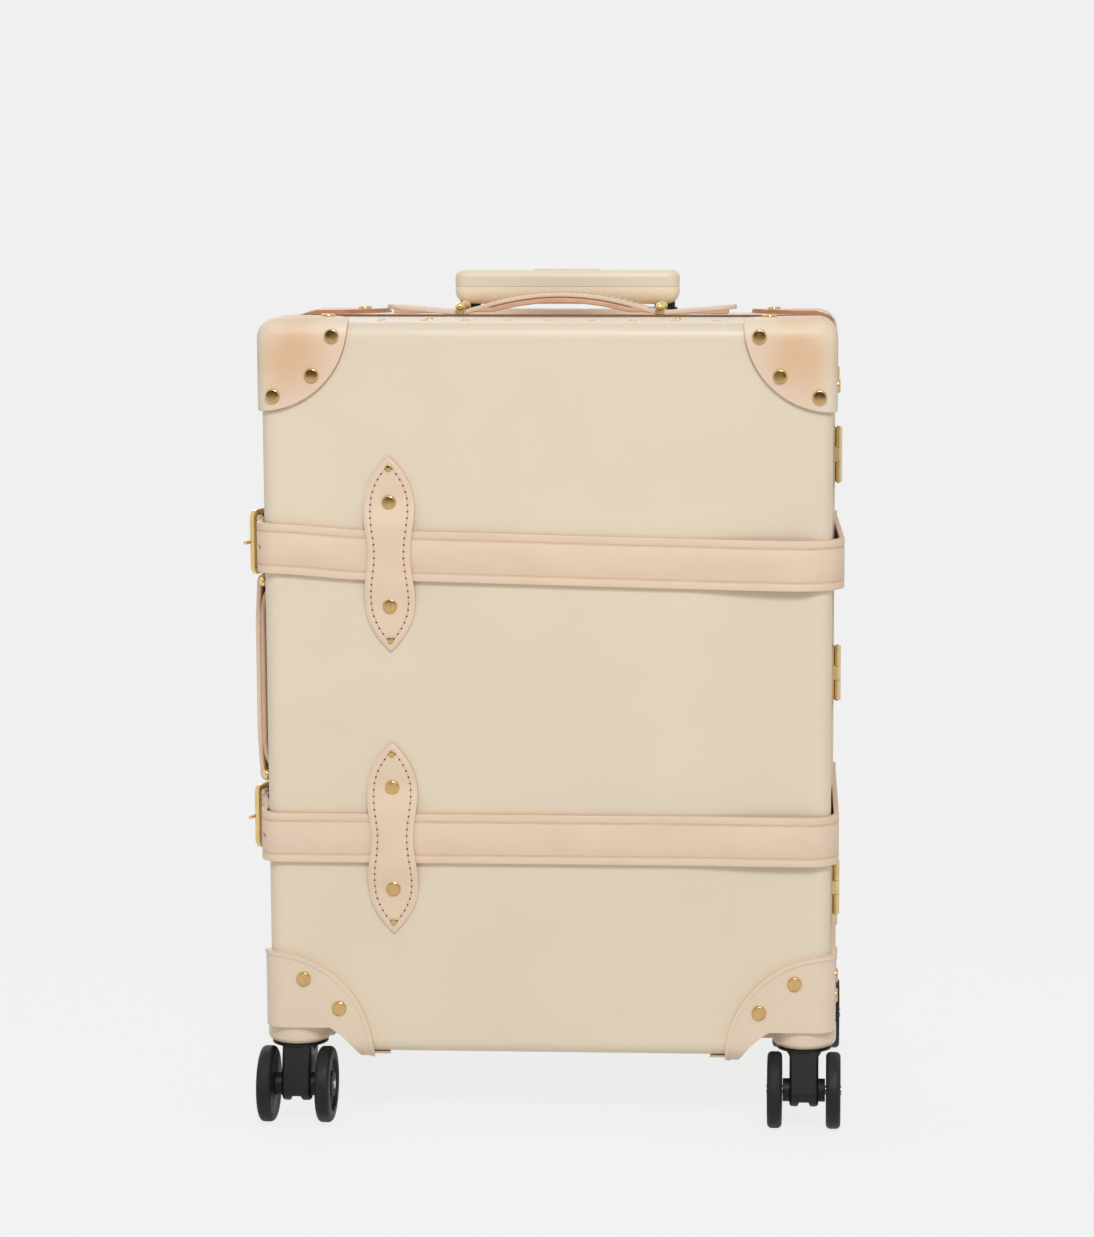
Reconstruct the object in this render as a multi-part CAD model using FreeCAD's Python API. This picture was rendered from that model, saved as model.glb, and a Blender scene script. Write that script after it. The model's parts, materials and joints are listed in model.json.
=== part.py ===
import FreeCAD, Part
import math
import os

# Carry-on suitcase built like a small trunk. Millimetres, +Z up, the lid faces -Y.
# The origin is on the floor, under the middle of the case, in the plane of the seam.

V = FreeCAD.Vector
UP = V(0, 0, 1)
RIGHT = V(1, 0, 0)
LEFT = V(-1, 0, 0)
FRONT = V(0, -1, 0)
BACK = V(0, 1, 0)

# Fibreboard shell
case_width = 360.0
case_height = 469.5
case_depth = 208.0
board = 2.5
corner_radius = 10.5
edge_radius = 10.0
seam_gap = 0.6

# Rim of each half
rail_thickness = 12.0
rail_depth = 18.0
binding_width = 3.0
binding_rise = 1.5
lining = 1.0

# Leather caps on the top corners
cap_leather = 2.8
cap_reach = 56.0
cap_rivet_reach = 47.0
cap_front_rivet_angles = (10.5, 45.0, 79.5)
cap_edge_rivet_angle = 31.0

# Moulded wheel corners
corner_wall = 3.5
corner_reach = 67.0
bead_rise = 0.6
bead_width = 2.4
well_wall = 3.0
well_height = 17.5
well_clearance = 0.1
arch_flat = 39.0
arch_toe = 61.0
arch_toe_drop = 8.0
arch_bulge = 2.6
foot_thickness = 2.2
foot_reach = 77.0
cup_radius = 20.5
cup_rise = 5.3
cup_round = 4.0
corner_rivet_reach = 54.5
corner_rivet_angles = (34.0, 65.5)

# Domed brass rivets
rivet_radius = 4.7
rivet_height = 2.6
lid_rivet_spread = 160.0
lid_rivet_from_seam = 44.0

# Casters
swivel_from_side = 16.3
swivel_from_face = 19.0
wheel_radius = 24.5
wheel_headroom = 2.8
wheel_width = 9.4
wheel_spacing = 37.6
wheel_tread_round = 3.0
wheel_rim = 7.0
wheel_dish = 2.2
wheel_hub = 8.0
trail = 14.0
fork_width = 18.6
fork_nose = 13.0
fork_heel = 17.0
fork_notch_width = 6.0
fork_notch_depth = 4.5
fork_notch_flare = 1.5
fork_edge_round = 2.0
fork_round = 10.5
fork_flare = 4.0
fork_flare_height = 7.0
fork_chin_angle = 50.0
boss_radius = 7.4
axle_radius = 3.0
axle_overhang = 0.6
turntable_radius = 18.0
turntable_thickness = 1.5
stem_radius = 5.0
stem_length = 12.0
running_clearance = 0.05
side_clearance = 0.5

# Straps
strap_width = 32.0
strap_leather = 3.5
strap_from_middle = (-93.0, 89.0)
strap_joint_gap = 0.3
strap_bend_half = 30.0
strap_bend_rise = 5.0
strap_turn_radius = 14.0

# Keeper patches over the straps
patch_offset = 99.0
patch_half_height = 62.0
patch_lobe_half_width = 16.0
patch_waist_half_width = 14.0
patch_lobe_height = 33.0
patch_shoulder = (12.5, 50.0)
patch_leather = 2.0
patch_slope = 7.0
patch_rivet_height = 32.7

# Buckles, seen from above: heel bar and front bar stand upright beside the left side
buckle_wire = 2.0
buckle_thickness = 4.2
buckle_half_height = 19.2
buckle_corner = 6.0
buckle_edge = 0.9
heel_from_side = 10.0
heel_from_seam = 8.0
front_bar_from_side = 17.5
front_bar_from_seam = 38.0
fold_leather = 3.0
fold_slot_half = 4.2
fold_slot_radius = 6.0
prong_ring_radius = 4.2
prong_ring_half = 3.5
prong_thickness = 1.6
prong_tip_thickness = 1.2
prong_overhang = 4.5
prong_root = 3.1
tongue_tip_from_seam = 62.0
tongue_room = 1.25
tongue_slot = (11.0, 28.0)
tongue_slot_width = 5.0
tongue_tip_round = 14.0
tongue_hole_radius = 2.0
tongue_hole_places = (56.0, 78.0)
leather_clearance = 0.3

# Keeper loops for the strap tips
keeper_leather = 1.8
keeper_width = 10.0
keeper_from_seam = 34.0
keeper_inner_from_side = 2.4
keeper_room = 1.5
keeper_side_room = 0.4

# Hinges on the right side
hinge_spacing = 145.0
hinge_length = 36.0
hinge_middle_knuckle = 9.0
hinge_leaf = 1.5
hinge_leaf_width = 20.0
knuckle_radius = 2.3
knuckle_seat = 0.1
knuckle_gap = 0.3
hinge_pin_radius = 1.2
hinge_pin_overhang = 0.8

# Slide locks on the left side, level with the outer hinges
lock_length = 34.0
lock_width = 24.0
lock_height = 9.0
lock_round = 3.0
striker_plate = 2.0
striker_length = 30.0
striker_width = 21.0
striker_tongue_half = 8.0
striker_tongue_thickness = 2.0
striker_tongue_from_side = 4.2
striker_reach = 12.0
striker_shoulder = 6.0
striker_clearance = 0.8
slider_length = 12.0
slider_width = 10.0
slider_height = 3.2
slider_travel = 6.0
slider_stem = (4.0, 5.0)
slider_stem_depth = 1.3
slider_clearance = 0.3
slider_round = 1.2

# Handles
handle_width = 28.0
handle_leather = 3.2
handle_pad = 3.6
handle_overlap = 0.2
handle_from_seam = 24.0
handle_tip_round = 12.0
loop_bar_radius = 2.0
loop_bar_height = 6.2
loop_leg_spread = 34.0
loop_ball_radius = 3.2
strap_seat = 2.1
top_loop_spacing = 132.0
top_handle_half = 116.0
top_handle_tab_rise = 7.5
top_handle_shoulder = (34.0, 13.2)
top_handle_rise = 15.4
side_loop_spacing = 126.0
side_handle_from_face = 55.0
side_handle_from_middle = 3.5
side_handle_shoulder = (36.0, 11.2)
side_ply = 2.6
side_ply_gap = 0.1
side_ply_butt = 0.3
side_fold = 14.0
side_bend_ease = 0.05

# Trolley
tube_spacing = 132.0
tube_from_seam = 70.0
outer_tube = (20.0, 14.0)
tube_wall = 1.2
tube_clearance = 0.35
tube_round_share = 0.33
outer_tube_lift = 8.0
middle_tube_lift = 42.0
middle_tube_rise = 1.5
inner_tube_lift = 54.0
top_plate = (164.0, 26.0, 3.0)
bracket_plate = (160.0, 18.0)
socket_wall = 2.0
socket_height = 20.0
panel_board = 2.0
grip_width = 152.0
grip_depth = 22.0
grip_gap = 6.5
grip_height = 23.0
grip_split_height = 11.5
grip_round = 9.0
grip_top_round = 5.0
grip_wall = 3.8
grip_parting = 0.5
button_length = 44.0
button_width = 10.0
button_proud = 0.6
button_round = 4.0
release_bar_width = 6.0
release_bar_height = 5.0
release_rod_radius = 1.8
release_rod_lift = 82.0

# Derived places
cup_bottom = 2 * wheel_radius + wheel_headroom
case_bottom = cup_bottom - cup_rise
case_top = case_bottom + case_height
well_roof = case_bottom + well_height
arch_toe_height = case_bottom - arch_toe_drop
side = case_width / 2
face = case_depth / 2
mid_height = case_bottom + case_height / 2
swivel_x = side - swivel_from_side
swivel_y = face - swivel_from_face
strap_heights = [mid_height + step for step in strap_from_middle]
side_handle_height = mid_height + side_handle_from_middle
side_handle_y = side_handle_from_face - face
hinge_heights = [mid_height + step * hinge_spacing for step in (-1, 0, 1)]
lock_heights = [mid_height - hinge_spacing, mid_height + hinge_spacing]
knuckle_x = side + hinge_leaf + knuckle_radius + knuckle_seat
heel = V(-side - heel_from_side, -heel_from_seam, 0)
front_bar = V(-side - front_bar_from_side, -front_bar_from_seam, 0)
fold_outer = buckle_wire + leather_clearance + fold_leather
tongue_lift = heel_from_side + fold_outer + strap_leather / 2 + tongue_room
keeper_outer_from_side = keeper_inner_from_side + 2 * strap_leather + keeper_room
panel_from_seam = tube_from_seam - outer_tube[1] / 2 - socket_wall - panel_board
outer_tube_bottom = case_bottom + outer_tube_lift
middle_tube_bottom = case_bottom + middle_tube_lift
inner_tube_bottom = case_bottom + inner_tube_lift
release_rod_bottom = case_bottom + release_rod_lift
grip_bottom = case_top + grip_gap
grip_top = grip_bottom + grip_height
grip_split = grip_bottom + grip_split_height
middle_tube = [size - 2 * (tube_wall + tube_clearance) for size in outer_tube]
inner_tube = [size - 2 * (tube_wall + tube_clearance) for size in middle_tube]


def box(x0, x1, y0, y1, z0, z1):
    """Box between two corners."""
    return Part.makeBox(x1 - x0, y1 - y0, z1 - z0, V(x0, y0, z0))


def rounded_box(x0, x1, y0, y1, z0, z1, radius):
    """Box with its four upright edges rounded."""
    block = box(x0, x1, y0, y1, z0, z1)
    upright = [edge for edge in block.Edges if abs(edge.tangentAt(edge.FirstParameter).z) > 0.9]
    return block.makeFillet(radius, upright)


def mirror_x(shape):
    return shape.mirror(V(0, 0, 0), RIGHT)


def mirror_y(shape):
    return shape.mirror(V(0, 0, 0), BACK)


def both_sides(shape):
    return [shape, mirror_x(shape)]


def lifted(shape, x, y, z):
    """Copy of a shape, moved."""
    copy = shape.copy()
    copy.translate(V(x, y, z))
    return copy


def save(name, solids):
    """Write one named sub-part, a single solid or a group of solids."""
    shape = solids[0] if len(solids) == 1 else Part.makeCompound(solids)
    shape.exportStep("parts/" + name + ".step")


def case_block(grow):
    """Closed case as one block, grown outwards or, with a minus sign, inwards."""
    block = box(-side - grow, side + grow, -face - grow, face + grow, case_bottom - grow, case_top + grow)
    long_edges = [edge for edge in block.Edges if abs(edge.tangentAt(edge.FirstParameter).y) > 0.9]
    block = block.makeFillet(corner_radius + grow, long_edges)
    rims = [edge for edge in block.Edges if abs(abs(edge.CenterOfMass.y) - face - grow) < 0.01]
    return block.makeFillet(edge_radius + grow, rims)


def slab(y0, y1):
    """Slice of space between two depths, wider and taller than the case."""
    reach = case_width + case_height
    return box(-reach, reach, y0, y1, -reach, 2 * reach)


def front_half(shape):
    return shape.common(slab(-case_depth, -seam_gap / 2))


def rear_half(shape):
    return shape.common(slab(seam_gap / 2, case_depth))


def dome(radius, height, place, outward):
    """Domed rivet head that stands on a surface."""
    ball_radius = (radius ** 2 + height ** 2) / (2 * height)
    ball = Part.makeSphere(ball_radius, V(0, 0, height - ball_radius))
    head = ball.common(box(-2 * radius, 2 * radius, -2 * radius, 2 * radius, 0, 2 * height))
    head.Placement = FreeCAD.Placement(place, FreeCAD.Rotation(UP, outward))
    return head


def rounded_edges(points, radii):
    """Straight runs through the points, joined by tangent arcs."""
    edges = []
    start = points[0]
    for before, corner, after, radius in zip(points, points[1:], points[2:], radii):
        into = (corner - before).normalize()
        out = (after - corner).normalize()
        turn = into.getAngle(out)
        reach = radius * math.tan(turn / 2)
        enter = corner - into * reach
        leave = corner + out * reach
        inward = (out - into).normalize()
        middle = corner + inward * (radius / math.cos(turn / 2) - radius)
        edges.append(Part.LineSegment(start, enter).toShape())
        edges.append(Part.Arc(enter, middle, leave).toShape())
        start = leave
    edges.append(Part.LineSegment(start, points[-1]).toShape())
    return edges


def ribbon(path, thickness, bend_radius, low, high):
    """Flat strap standing on edge: a path of (x, y) points with rounded turns, between two heights."""
    points = [V(x, y, low) for x, y in path]
    runs = [(b - a).normalize() for a, b in zip(points, points[1:])]
    normals = [V(-run.y, run.x, 0) for run in runs]
    turns = [a.cross(b).z for a, b in zip(runs, runs[1:])]
    outlines = []
    for hand in (1, -1):
        offset = hand * thickness / 2
        line = [points[0] + normals[0] * offset]
        for corner, before, after in zip(points[1:], normals, normals[1:]):
            line.append(corner + (before + after) * (offset / (1 + before.dot(after))))
        line.append(points[-1] + normals[-1] * offset)
        radii = [bend_radius - math.copysign(offset, turn * hand) * hand for turn in turns]
        outlines.append(rounded_edges(line, radii))
    ends = []
    for index in (0, -1):
        corner_pair = [outline[index].Vertexes[index].Point for outline in outlines]
        ends.append(Part.LineSegment(*corner_pair).toShape())
    outline = Part.Wire(Part.__sortEdges__(outlines[0] + ends + outlines[1]))
    return Part.Face(outline).extrude(V(0, 0, high - low))


# Shell halves

def arch_block(grow, run):
    """Arched tunnel along +Y from the corner's own zero, open to -X, grown by a wall."""
    flat = V(arch_flat + grow, 0, well_roof + grow)
    toe = V(arch_toe + grow, 0, arch_toe_height)
    along = toe - flat
    bulge = (flat + toe) * 0.5 + V(-along.z, 0, along.x).normalize() * arch_bulge
    floor = arch_toe_height - case_bottom
    corners = [V(toe.x, 0, floor), V(-arch_toe, 0, floor), V(-arch_toe, 0, flat.z), flat]
    edges = [Part.LineSegment(a, b).toShape() for a, b in zip(corners, corners[1:])]
    edges.append(Part.Arc(flat, bulge, toe).toShape())
    edges.append(Part.LineSegment(toe, corners[0]).toShape())
    tunnel = Part.Face(Part.Wire(edges)).extrude(V(0, run + arch_toe, 0))
    tunnel.translate(V(0, -arch_toe, 0))
    return tunnel


def wheel_well(grow):
    """Space over a caster in the left front bottom corner, grown by a wall."""
    run = arch_toe + grow
    from_front = arch_block(grow, run)
    from_side = from_front.mirror(V(0, 0, 0), V(1, -1, 0))
    well = from_front.common(from_side)
    well.translate(V(-side, -face, 0))
    return well


def all_wells(grow):
    front = both_sides(wheel_well(grow))
    return front + [mirror_y(well) for well in front]


def shell_halves():
    """Front and rear trays of bent board, notched over the casters."""
    shell = case_block(0).cut(case_block(-board)).cut(all_wells(well_wall + well_clearance))
    room = [size + 2 * leather_clearance for size in outer_tube]
    tube_holes = both_sides(tube_plug(room, case_top - 2 * board, case_top))
    return front_half(shell), rear_half(shell).cut(tube_holes)


def rails():
    """Four wooden rails inside the mouth of the rear half."""
    inner = side - board - rail_thickness
    low = case_bottom + board
    high = case_top - board
    y0 = seam_gap / 2
    y1 = y0 + rail_depth
    bars = [
        box(-side, side, y0, y1, low, low + rail_thickness),
        box(-side, side, y0, y1, high - rail_thickness, high),
        box(inner, side, y0, y1, low + rail_thickness, high - rail_thickness),
        box(-side, -inner, y0, y1, low + rail_thickness, high - rail_thickness),
    ]
    room = case_block(-board)
    return [bar.common(room) for bar in bars]


def front_lining():
    skin = case_block(-board).cut(case_block(-board - lining))
    start = seam_gap / 2 + rail_depth
    return skin.common(slab(-case_depth, -start)).cut(all_wells(well_wall + leather_clearance))


def rear_lining():
    """Lining of the rear half: walls, and a floor in front of the trolley's cover panel."""
    start = seam_gap / 2 + rail_depth
    tray = case_block(-board).common(slab(start, panel_from_seam))
    hollow = case_block(-board - lining).common(slab(0, panel_from_seam - lining))
    return tray.cut(hollow).cut(all_wells(well_wall + leather_clearance))


def cover_panel():
    panel = case_block(-board).common(slab(panel_from_seam, panel_from_seam + panel_board))
    return panel.cut(all_wells(well_wall + leather_clearance))


def binding():
    """Raised edge binding round the mouth of the rear half, left out at the hinges and locks."""
    y0 = seam_gap / 2
    ring = case_block(binding_rise).cut(case_block(0)).common(slab(y0, y0 + binding_width))
    reach = 2 * lock_height
    for z in hinge_heights:
        half = hinge_length / 2 + leather_clearance
        ring = ring.cut(box(0, side + reach, 0, 2 * binding_width, z - half, z + half))
    for z in lock_heights:
        half = lock_length / 2 + leather_clearance
        ring = ring.cut(box(-side - reach, 0, 0, 2 * binding_width, z - half, z + half))
    return ring.Solids


# Corners

def corner_skin(thickness, reach, corner, start=0.0):
    """Layer over the case that a ball round one corner cuts out."""
    return case_block(thickness).cut(case_block(start)).common(Part.makeSphere(reach, corner))


def leather_cap():
    """Cap on the left front top corner."""
    return corner_skin(cap_leather, cap_reach, V(-side, -face, case_top))


def wheel_corner():
    """Moulding on the left front bottom corner: skin with a rim bead, foot, well and caster cup."""
    corner = V(-side, -face, case_bottom)
    skin = corner_skin(corner_wall, corner_reach, corner)
    bead = corner_skin(corner_wall + bead_rise, corner_reach, corner, corner_wall)
    bead = bead.cut(Part.makeSphere(corner_reach - bead_width, corner))
    foot = corner_skin(foot_thickness, foot_reach, corner)
    foot = foot.common(box(-case_width, case_width, -case_depth, case_depth, 0, case_bottom))
    liner = wheel_well(well_wall).common(case_block(0))
    axis_foot = V(-swivel_x, -swivel_y, cup_bottom)
    cup = Part.makeCylinder(cup_radius, well_roof + well_wall / 2 - cup_bottom, axis_foot)
    lip = [edge for edge in cup.Edges if abs(edge.CenterOfMass.z - cup_bottom) < 0.01]
    cup = cup.makeFillet(cup_round, lip)
    bore = Part.makeCylinder(stem_radius + running_clearance, stem_length + side_clearance, axis_foot)
    moulding = skin.fuse([bead, foot, liner]).cut(wheel_well(0)).fuse(cup).cut(bore)
    return moulding.removeSplitter()


def corner_rivets():
    """Brass heads on one top cap and one bottom corner at the left front."""
    heads = []
    for angle in cap_front_rivet_angles:
        across = cap_rivet_reach * math.cos(math.radians(angle))
        down = cap_rivet_reach * math.sin(math.radians(angle))
        heads.append((V(across - side, -face - cap_leather, case_top - down), FRONT))
    far = cap_rivet_reach * math.cos(math.radians(cap_edge_rivet_angle))
    near = cap_rivet_reach * math.sin(math.radians(cap_edge_rivet_angle))
    heads.append((V(far - side, near - face, case_top + cap_leather), UP))
    heads.append((V(-side - cap_leather, near - face, case_top - far), LEFT))
    for angle in corner_rivet_angles:
        across = corner_rivet_reach * math.cos(math.radians(angle))
        up = corner_rivet_reach * math.sin(math.radians(angle))
        heads.append((V(across - side, -face - corner_wall, case_bottom + up), FRONT))
        heads.append((V(-side - corner_wall, across - face, case_bottom + up), LEFT))
    return [dome(rivet_radius, rivet_height, place, outward) for place, outward in heads]


def patch_rivets():
    """Brass heads on the front keeper patches, one above and one below each strap."""
    heads = []
    y = -face - patch_leather
    for z in strap_heights:
        for hand in (-1, 1):
            place = V(-patch_offset, y, z + hand * patch_rivet_height)
            heads.append(dome(rivet_radius, rivet_height, place, FRONT))
    return heads


def lid_top_rivets():
    half = lid_rivet_spread / 2
    places = [V(x, -lid_rivet_from_seam, case_top) for x in (-half, half)]
    return [dome(rivet_radius, rivet_height, place, UP) for place in places]


# Straps

def strap_ring(z):
    """Strap that hugs the case all round at one height."""
    low = z - strap_width / 2
    high = z + strap_width / 2
    grow = strap_leather
    outer = rounded_box(-side - grow, side + grow, -face - grow, face + grow, low, high, edge_radius + grow)
    inner = rounded_box(-side, side, -face, face, low, high, edge_radius)
    return outer.cut(inner)


def front_strap(z):
    """Run on the lid: over the front, round both edges, and along the right side to the loose bend."""
    reach = 2 * strap_leather + side
    left_end = -face + edge_radius
    ring = strap_ring(z)
    left = box(-reach, 0, -case_depth, left_end, 0, case_top)
    right = box(0, reach, -case_depth, -strap_bend_half - strap_joint_gap, 0, case_top)
    return ring.common(left.fuse(right))


def strap_bend(z):
    """Loose bend over the hinge side, an arc between the two runs."""
    low = z - strap_width / 2
    faces = []
    for grow in (0, strap_leather):
        start = V(side + grow, -strap_bend_half, low)
        crown = V(side + strap_bend_rise + grow, 0, low)
        end = V(side + grow, strap_bend_half, low)
        faces.append(Part.Arc(start, crown, end).toShape())
    pairs = [[arc.Vertexes[end].Point for arc in faces] for end in (0, 1)]
    ends = [Part.LineSegment(*pair).toShape() for pair in pairs]
    outline = Part.Wire(Part.__sortEdges__(faces + ends))
    return Part.Face(outline).extrude(V(0, 0, strap_width))


def strap_tongue(z):
    """Free end on the left: under the buckle's front bar, over its heel and under the keeper loop."""
    half = strap_leather / 2
    lid_end = -face + edge_radius + strap_joint_gap
    under_bar = side + front_bar_from_side - buckle_wire - leather_clearance - strap_leather
    on_strap = side + keeper_outer_from_side - leather_clearance - half
    path = [
        (-side - half, lid_end),
        (-side - half, lid_end + strap_turn_radius),
        (-under_bar, -front_bar_from_seam - strap_turn_radius / 2),
        (-under_bar, -front_bar_from_seam + strap_turn_radius / 4),
        (-side - tongue_lift, -heel_from_seam - strap_turn_radius / 4),
        (-side - tongue_lift, -heel_from_seam + strap_turn_radius / 4),
        (-on_strap, keeper_from_seam - strap_turn_radius / 3),
        (-on_strap, tongue_tip_from_seam),
    ]
    tongue = ribbon(path, strap_leather, strap_turn_radius, z - strap_width / 2, z + strap_width / 2)
    reach = side + 2 * tongue_lift
    half_slot = tongue_slot_width / 2
    slot = box(-reach, -side, -tongue_slot[1], -tongue_slot[0], z - half_slot, z + half_slot)
    holes = [Part.makeCylinder(tongue_hole_radius, 2 * tongue_lift, V(-side, -y, z), LEFT)
             for y in tongue_hole_places]
    point = box(-reach, 0, -case_depth, tongue_tip_from_seam, z - strap_width / 2, z + strap_width / 2)
    tip_edges = [edge for edge in point.Edges
                 if abs(edge.tangentAt(edge.FirstParameter).x) > 0.9
                 and abs(edge.CenterOfMass.y - tongue_tip_from_seam) < 0.01]
    point = point.makeFillet(tongue_tip_round, tip_edges)
    return tongue.common(point).cut([slot] + holes)


def rear_strap(z):
    """Run on the rear half: from the loose bend round the back to the fold round the buckle's heel bar."""
    reach = 2 * strap_leather + side
    low = z - strap_width / 2
    high = z + strap_width / 2
    half = strap_leather / 2
    left_start = face - edge_radius
    ring = strap_ring(z)
    left = box(-reach, 0, left_start - strap_joint_gap, case_depth, 0, case_top)
    right = box(0, reach, strap_bend_half + strap_joint_gap, case_depth, 0, case_top)
    back = ring.common(left.fuse(right))
    at_keeper = side + keeper_inner_from_side + leather_clearance + half
    at_fold = side + heel_from_side - fold_outer + half
    path = [
        (-side - half, left_start),
        (-side - half, left_start - strap_turn_radius / 2),
        (-at_keeper, tongue_tip_from_seam),
        (-at_keeper, keeper_from_seam),
        (-at_fold, -heel_from_seam + strap_turn_radius),
        (-at_fold, -heel_from_seam),
    ]
    run = ribbon(path, strap_leather, strap_turn_radius, low, high)
    fold = Part.makeCylinder(fold_outer, strap_width, heel + V(0, 0, low))
    bore = Part.makeCylinder(buckle_wire + leather_clearance, strap_width, heel + V(0, 0, low))
    slot = Part.makeCylinder(fold_slot_radius, 2 * fold_slot_half, heel + V(0, 0, z - fold_slot_half))
    return back.fuse([run, fold]).cut([bore, slot]).removeSplitter()


def keeper_loop(z):
    """Leather loop round the rear strap and the tongue's tip."""
    y0 = keeper_from_seam
    y1 = y0 + keeper_width
    half = strap_width / 2 + keeper_side_room
    wall = keeper_leather
    inner = (-side - keeper_outer_from_side, -side - keeper_inner_from_side)
    outer = box(inner[0] - wall, inner[1] + wall, y0, y1, z - half - wall, z + half + wall)
    hollow = box(inner[0], inner[1], y0, y1, z - half, z + half)
    return outer.cut(hollow)


def patch_outline():
    """Hourglass outline with pointed ends, as a face in the XZ plane."""
    tip = patch_half_height
    lobe = V(patch_lobe_half_width, 0, patch_lobe_height)
    shoulder = V(patch_shoulder[0], 0, patch_shoulder[1])
    waist = patch_waist_half_width
    edges = []
    for x in (1, -1):
        lobes = [V(lobe.x * x, 0, lobe.z * z) for z in (1, -1)]
        for z, end in zip((1, -1), lobes):
            edges.append(Part.Arc(V(0, 0, tip * z), V(shoulder.x * x, 0, shoulder.z * z), end).toShape())
        edges.append(Part.Arc(lobes[0], V(waist * x, 0, 0), lobes[1]).toShape())
    return Part.Face(Part.Wire(Part.__sortEdges__(edges)))


def front_patch(z):
    """Keeper patch that bridges the strap on the front."""
    bridge = strap_width / 2 + leather_clearance
    foot = bridge + patch_slope
    rise = strap_leather + leather_clearance
    half_under = [(bridge, rise), (foot, 0), (patch_half_height, 0)]
    under = [(-step, out) for step, out in reversed(half_under)] + half_under
    over = [(step, out + patch_leather) for step, out in reversed(under)]
    corners = [V(-side, -face - out, z + step) for step, out in under + over]
    band = Part.Face(Part.makePolygon(corners + corners[:1])).extrude(V(case_width, 0, 0))
    outline = patch_outline().extrude(V(0, 4 * rise, 0))
    outline.translate(V(-patch_offset, -face - 3 * rise, z))
    return band.common(outline)


# Buckles

def buckle_frame(z):
    """Flat frame with a round heel bar, drawn upright along +X and then turned to its place."""
    along = front_bar - heel
    length = along.Length + buckle_wire
    half = buckle_half_height + buckle_wire
    inner = buckle_half_height - buckle_wire
    flat = buckle_thickness / 2
    plate = box(0, length, -flat, flat, -half, half)
    front_corners = [edge for edge in plate.Edges
                     if abs(edge.tangentAt(edge.FirstParameter).y) > 0.9 and edge.CenterOfMass.x > length / 2]
    plate = plate.makeFillet(buckle_corner, front_corners)
    window = box(-length, length - 2 * buckle_wire, -half, half, -inner, inner)
    bar = Part.makeCylinder(buckle_wire, 2 * half, V(0, 0, -half))
    plate = plate.cut(window)
    broken = [edge for edge in plate.Edges
              if abs(abs(edge.CenterOfMass.y) - flat) < 0.01 and edge.CenterOfMass.x > buckle_wire]
    plate = plate.makeChamfer(buckle_edge, broken)
    frame = plate.fuse(bar).removeSplitter()
    frame.rotate(V(0, 0, 0), UP, math.degrees(math.atan2(along.y, along.x)))
    frame.translate(heel + V(0, 0, z))
    return frame


def prong(z):
    """Prong: a ring on the heel bar and a tapered arm that rests on the front bar."""
    along = (front_bar - heel).normalize()
    outward = V(along.y, -along.x, 0)
    ring = Part.makeCylinder(prong_ring_radius, 2 * prong_ring_half, heel + V(0, 0, z - prong_ring_half))
    bore = Part.makeCylinder(buckle_wire + running_clearance, 2 * prong_ring_half,
                             heel + V(0, 0, z - prong_ring_half))
    root = heel + outward * prong_root
    rest = front_bar + outward * (buckle_wire + leather_clearance + prong_thickness)
    reach = rest - root
    length = reach.Length + prong_overhang
    arm = Part.makeCone(prong_thickness, prong_tip_thickness, length, root + V(0, 0, z), reach)
    return ring.fuse(arm).cut(bore).removeSplitter()


# Hinges

def hinge_leaf_block(z, low, high):
    """Leaf plate with its knuckles; low and high are the knuckles' heights from the middle."""
    half = hinge_length / 2
    gap = seam_gap
    plate = box(side, side + hinge_leaf, gap, hinge_leaf_width, z - half, z + half)
    parts = [plate]
    for start, end in zip(low, high):
        knuckle = Part.makeCylinder(knuckle_radius, end - start, V(knuckle_x, 0, z + start))
        web = box(side, knuckle_x, gap, knuckle_radius, z + start, z + end)
        parts += [knuckle, web]
    leaf = parts[0].fuse(parts[1:])
    bore = Part.makeCylinder(hinge_pin_radius + running_clearance, hinge_length, V(knuckle_x, 0, z - half))
    return leaf.cut(bore).removeSplitter()


def body_leaf(z):
    half = hinge_length / 2
    inner = hinge_middle_knuckle / 2 + knuckle_gap
    return hinge_leaf_block(z, (-half, inner), (-inner, half))


def lid_leaf(z):
    inner = hinge_middle_knuckle / 2
    return mirror_y(hinge_leaf_block(z, (-inner,), (inner,)))


def hinge_pin(z):
    half = hinge_length / 2 + hinge_pin_overhang
    return Part.makeCylinder(hinge_pin_radius, 2 * half, V(knuckle_x, 0, z - half))


# Locks

def lock_case(z):
    """Lock body on the rear half, with a mouth for the striker and a slot for the thumb slider."""
    half = lock_length / 2
    y0 = seam_gap
    y1 = y0 + lock_width
    block = box(-side - lock_height, -side, y0, y1, z - half, z + half)
    outer_edges = [edge for edge in block.Edges if abs(edge.CenterOfMass.x + side + lock_height) < 0.01]
    block = block.makeFillet(lock_round, outer_edges)
    room = striker_clearance
    high = side + striker_tongue_from_side + striker_tongue_thickness + room
    low = side + striker_tongue_from_side - room
    wide = striker_tongue_half + room
    mouth = box(-high, -low, 0, striker_reach + room, z - wide, z + wide)
    middle = y0 + lock_width / 2
    stem_y = slider_stem[0] / 2 + slider_clearance
    stem_z = slider_stem[1] / 2 + slider_clearance
    depth = slider_stem_depth + slider_clearance
    slot = box(-side - lock_height, -side - lock_height + depth, middle - stem_y, middle + stem_y,
               z - stem_z, z + stem_z + slider_travel)
    return block.cut([mouth, slot])


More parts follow.
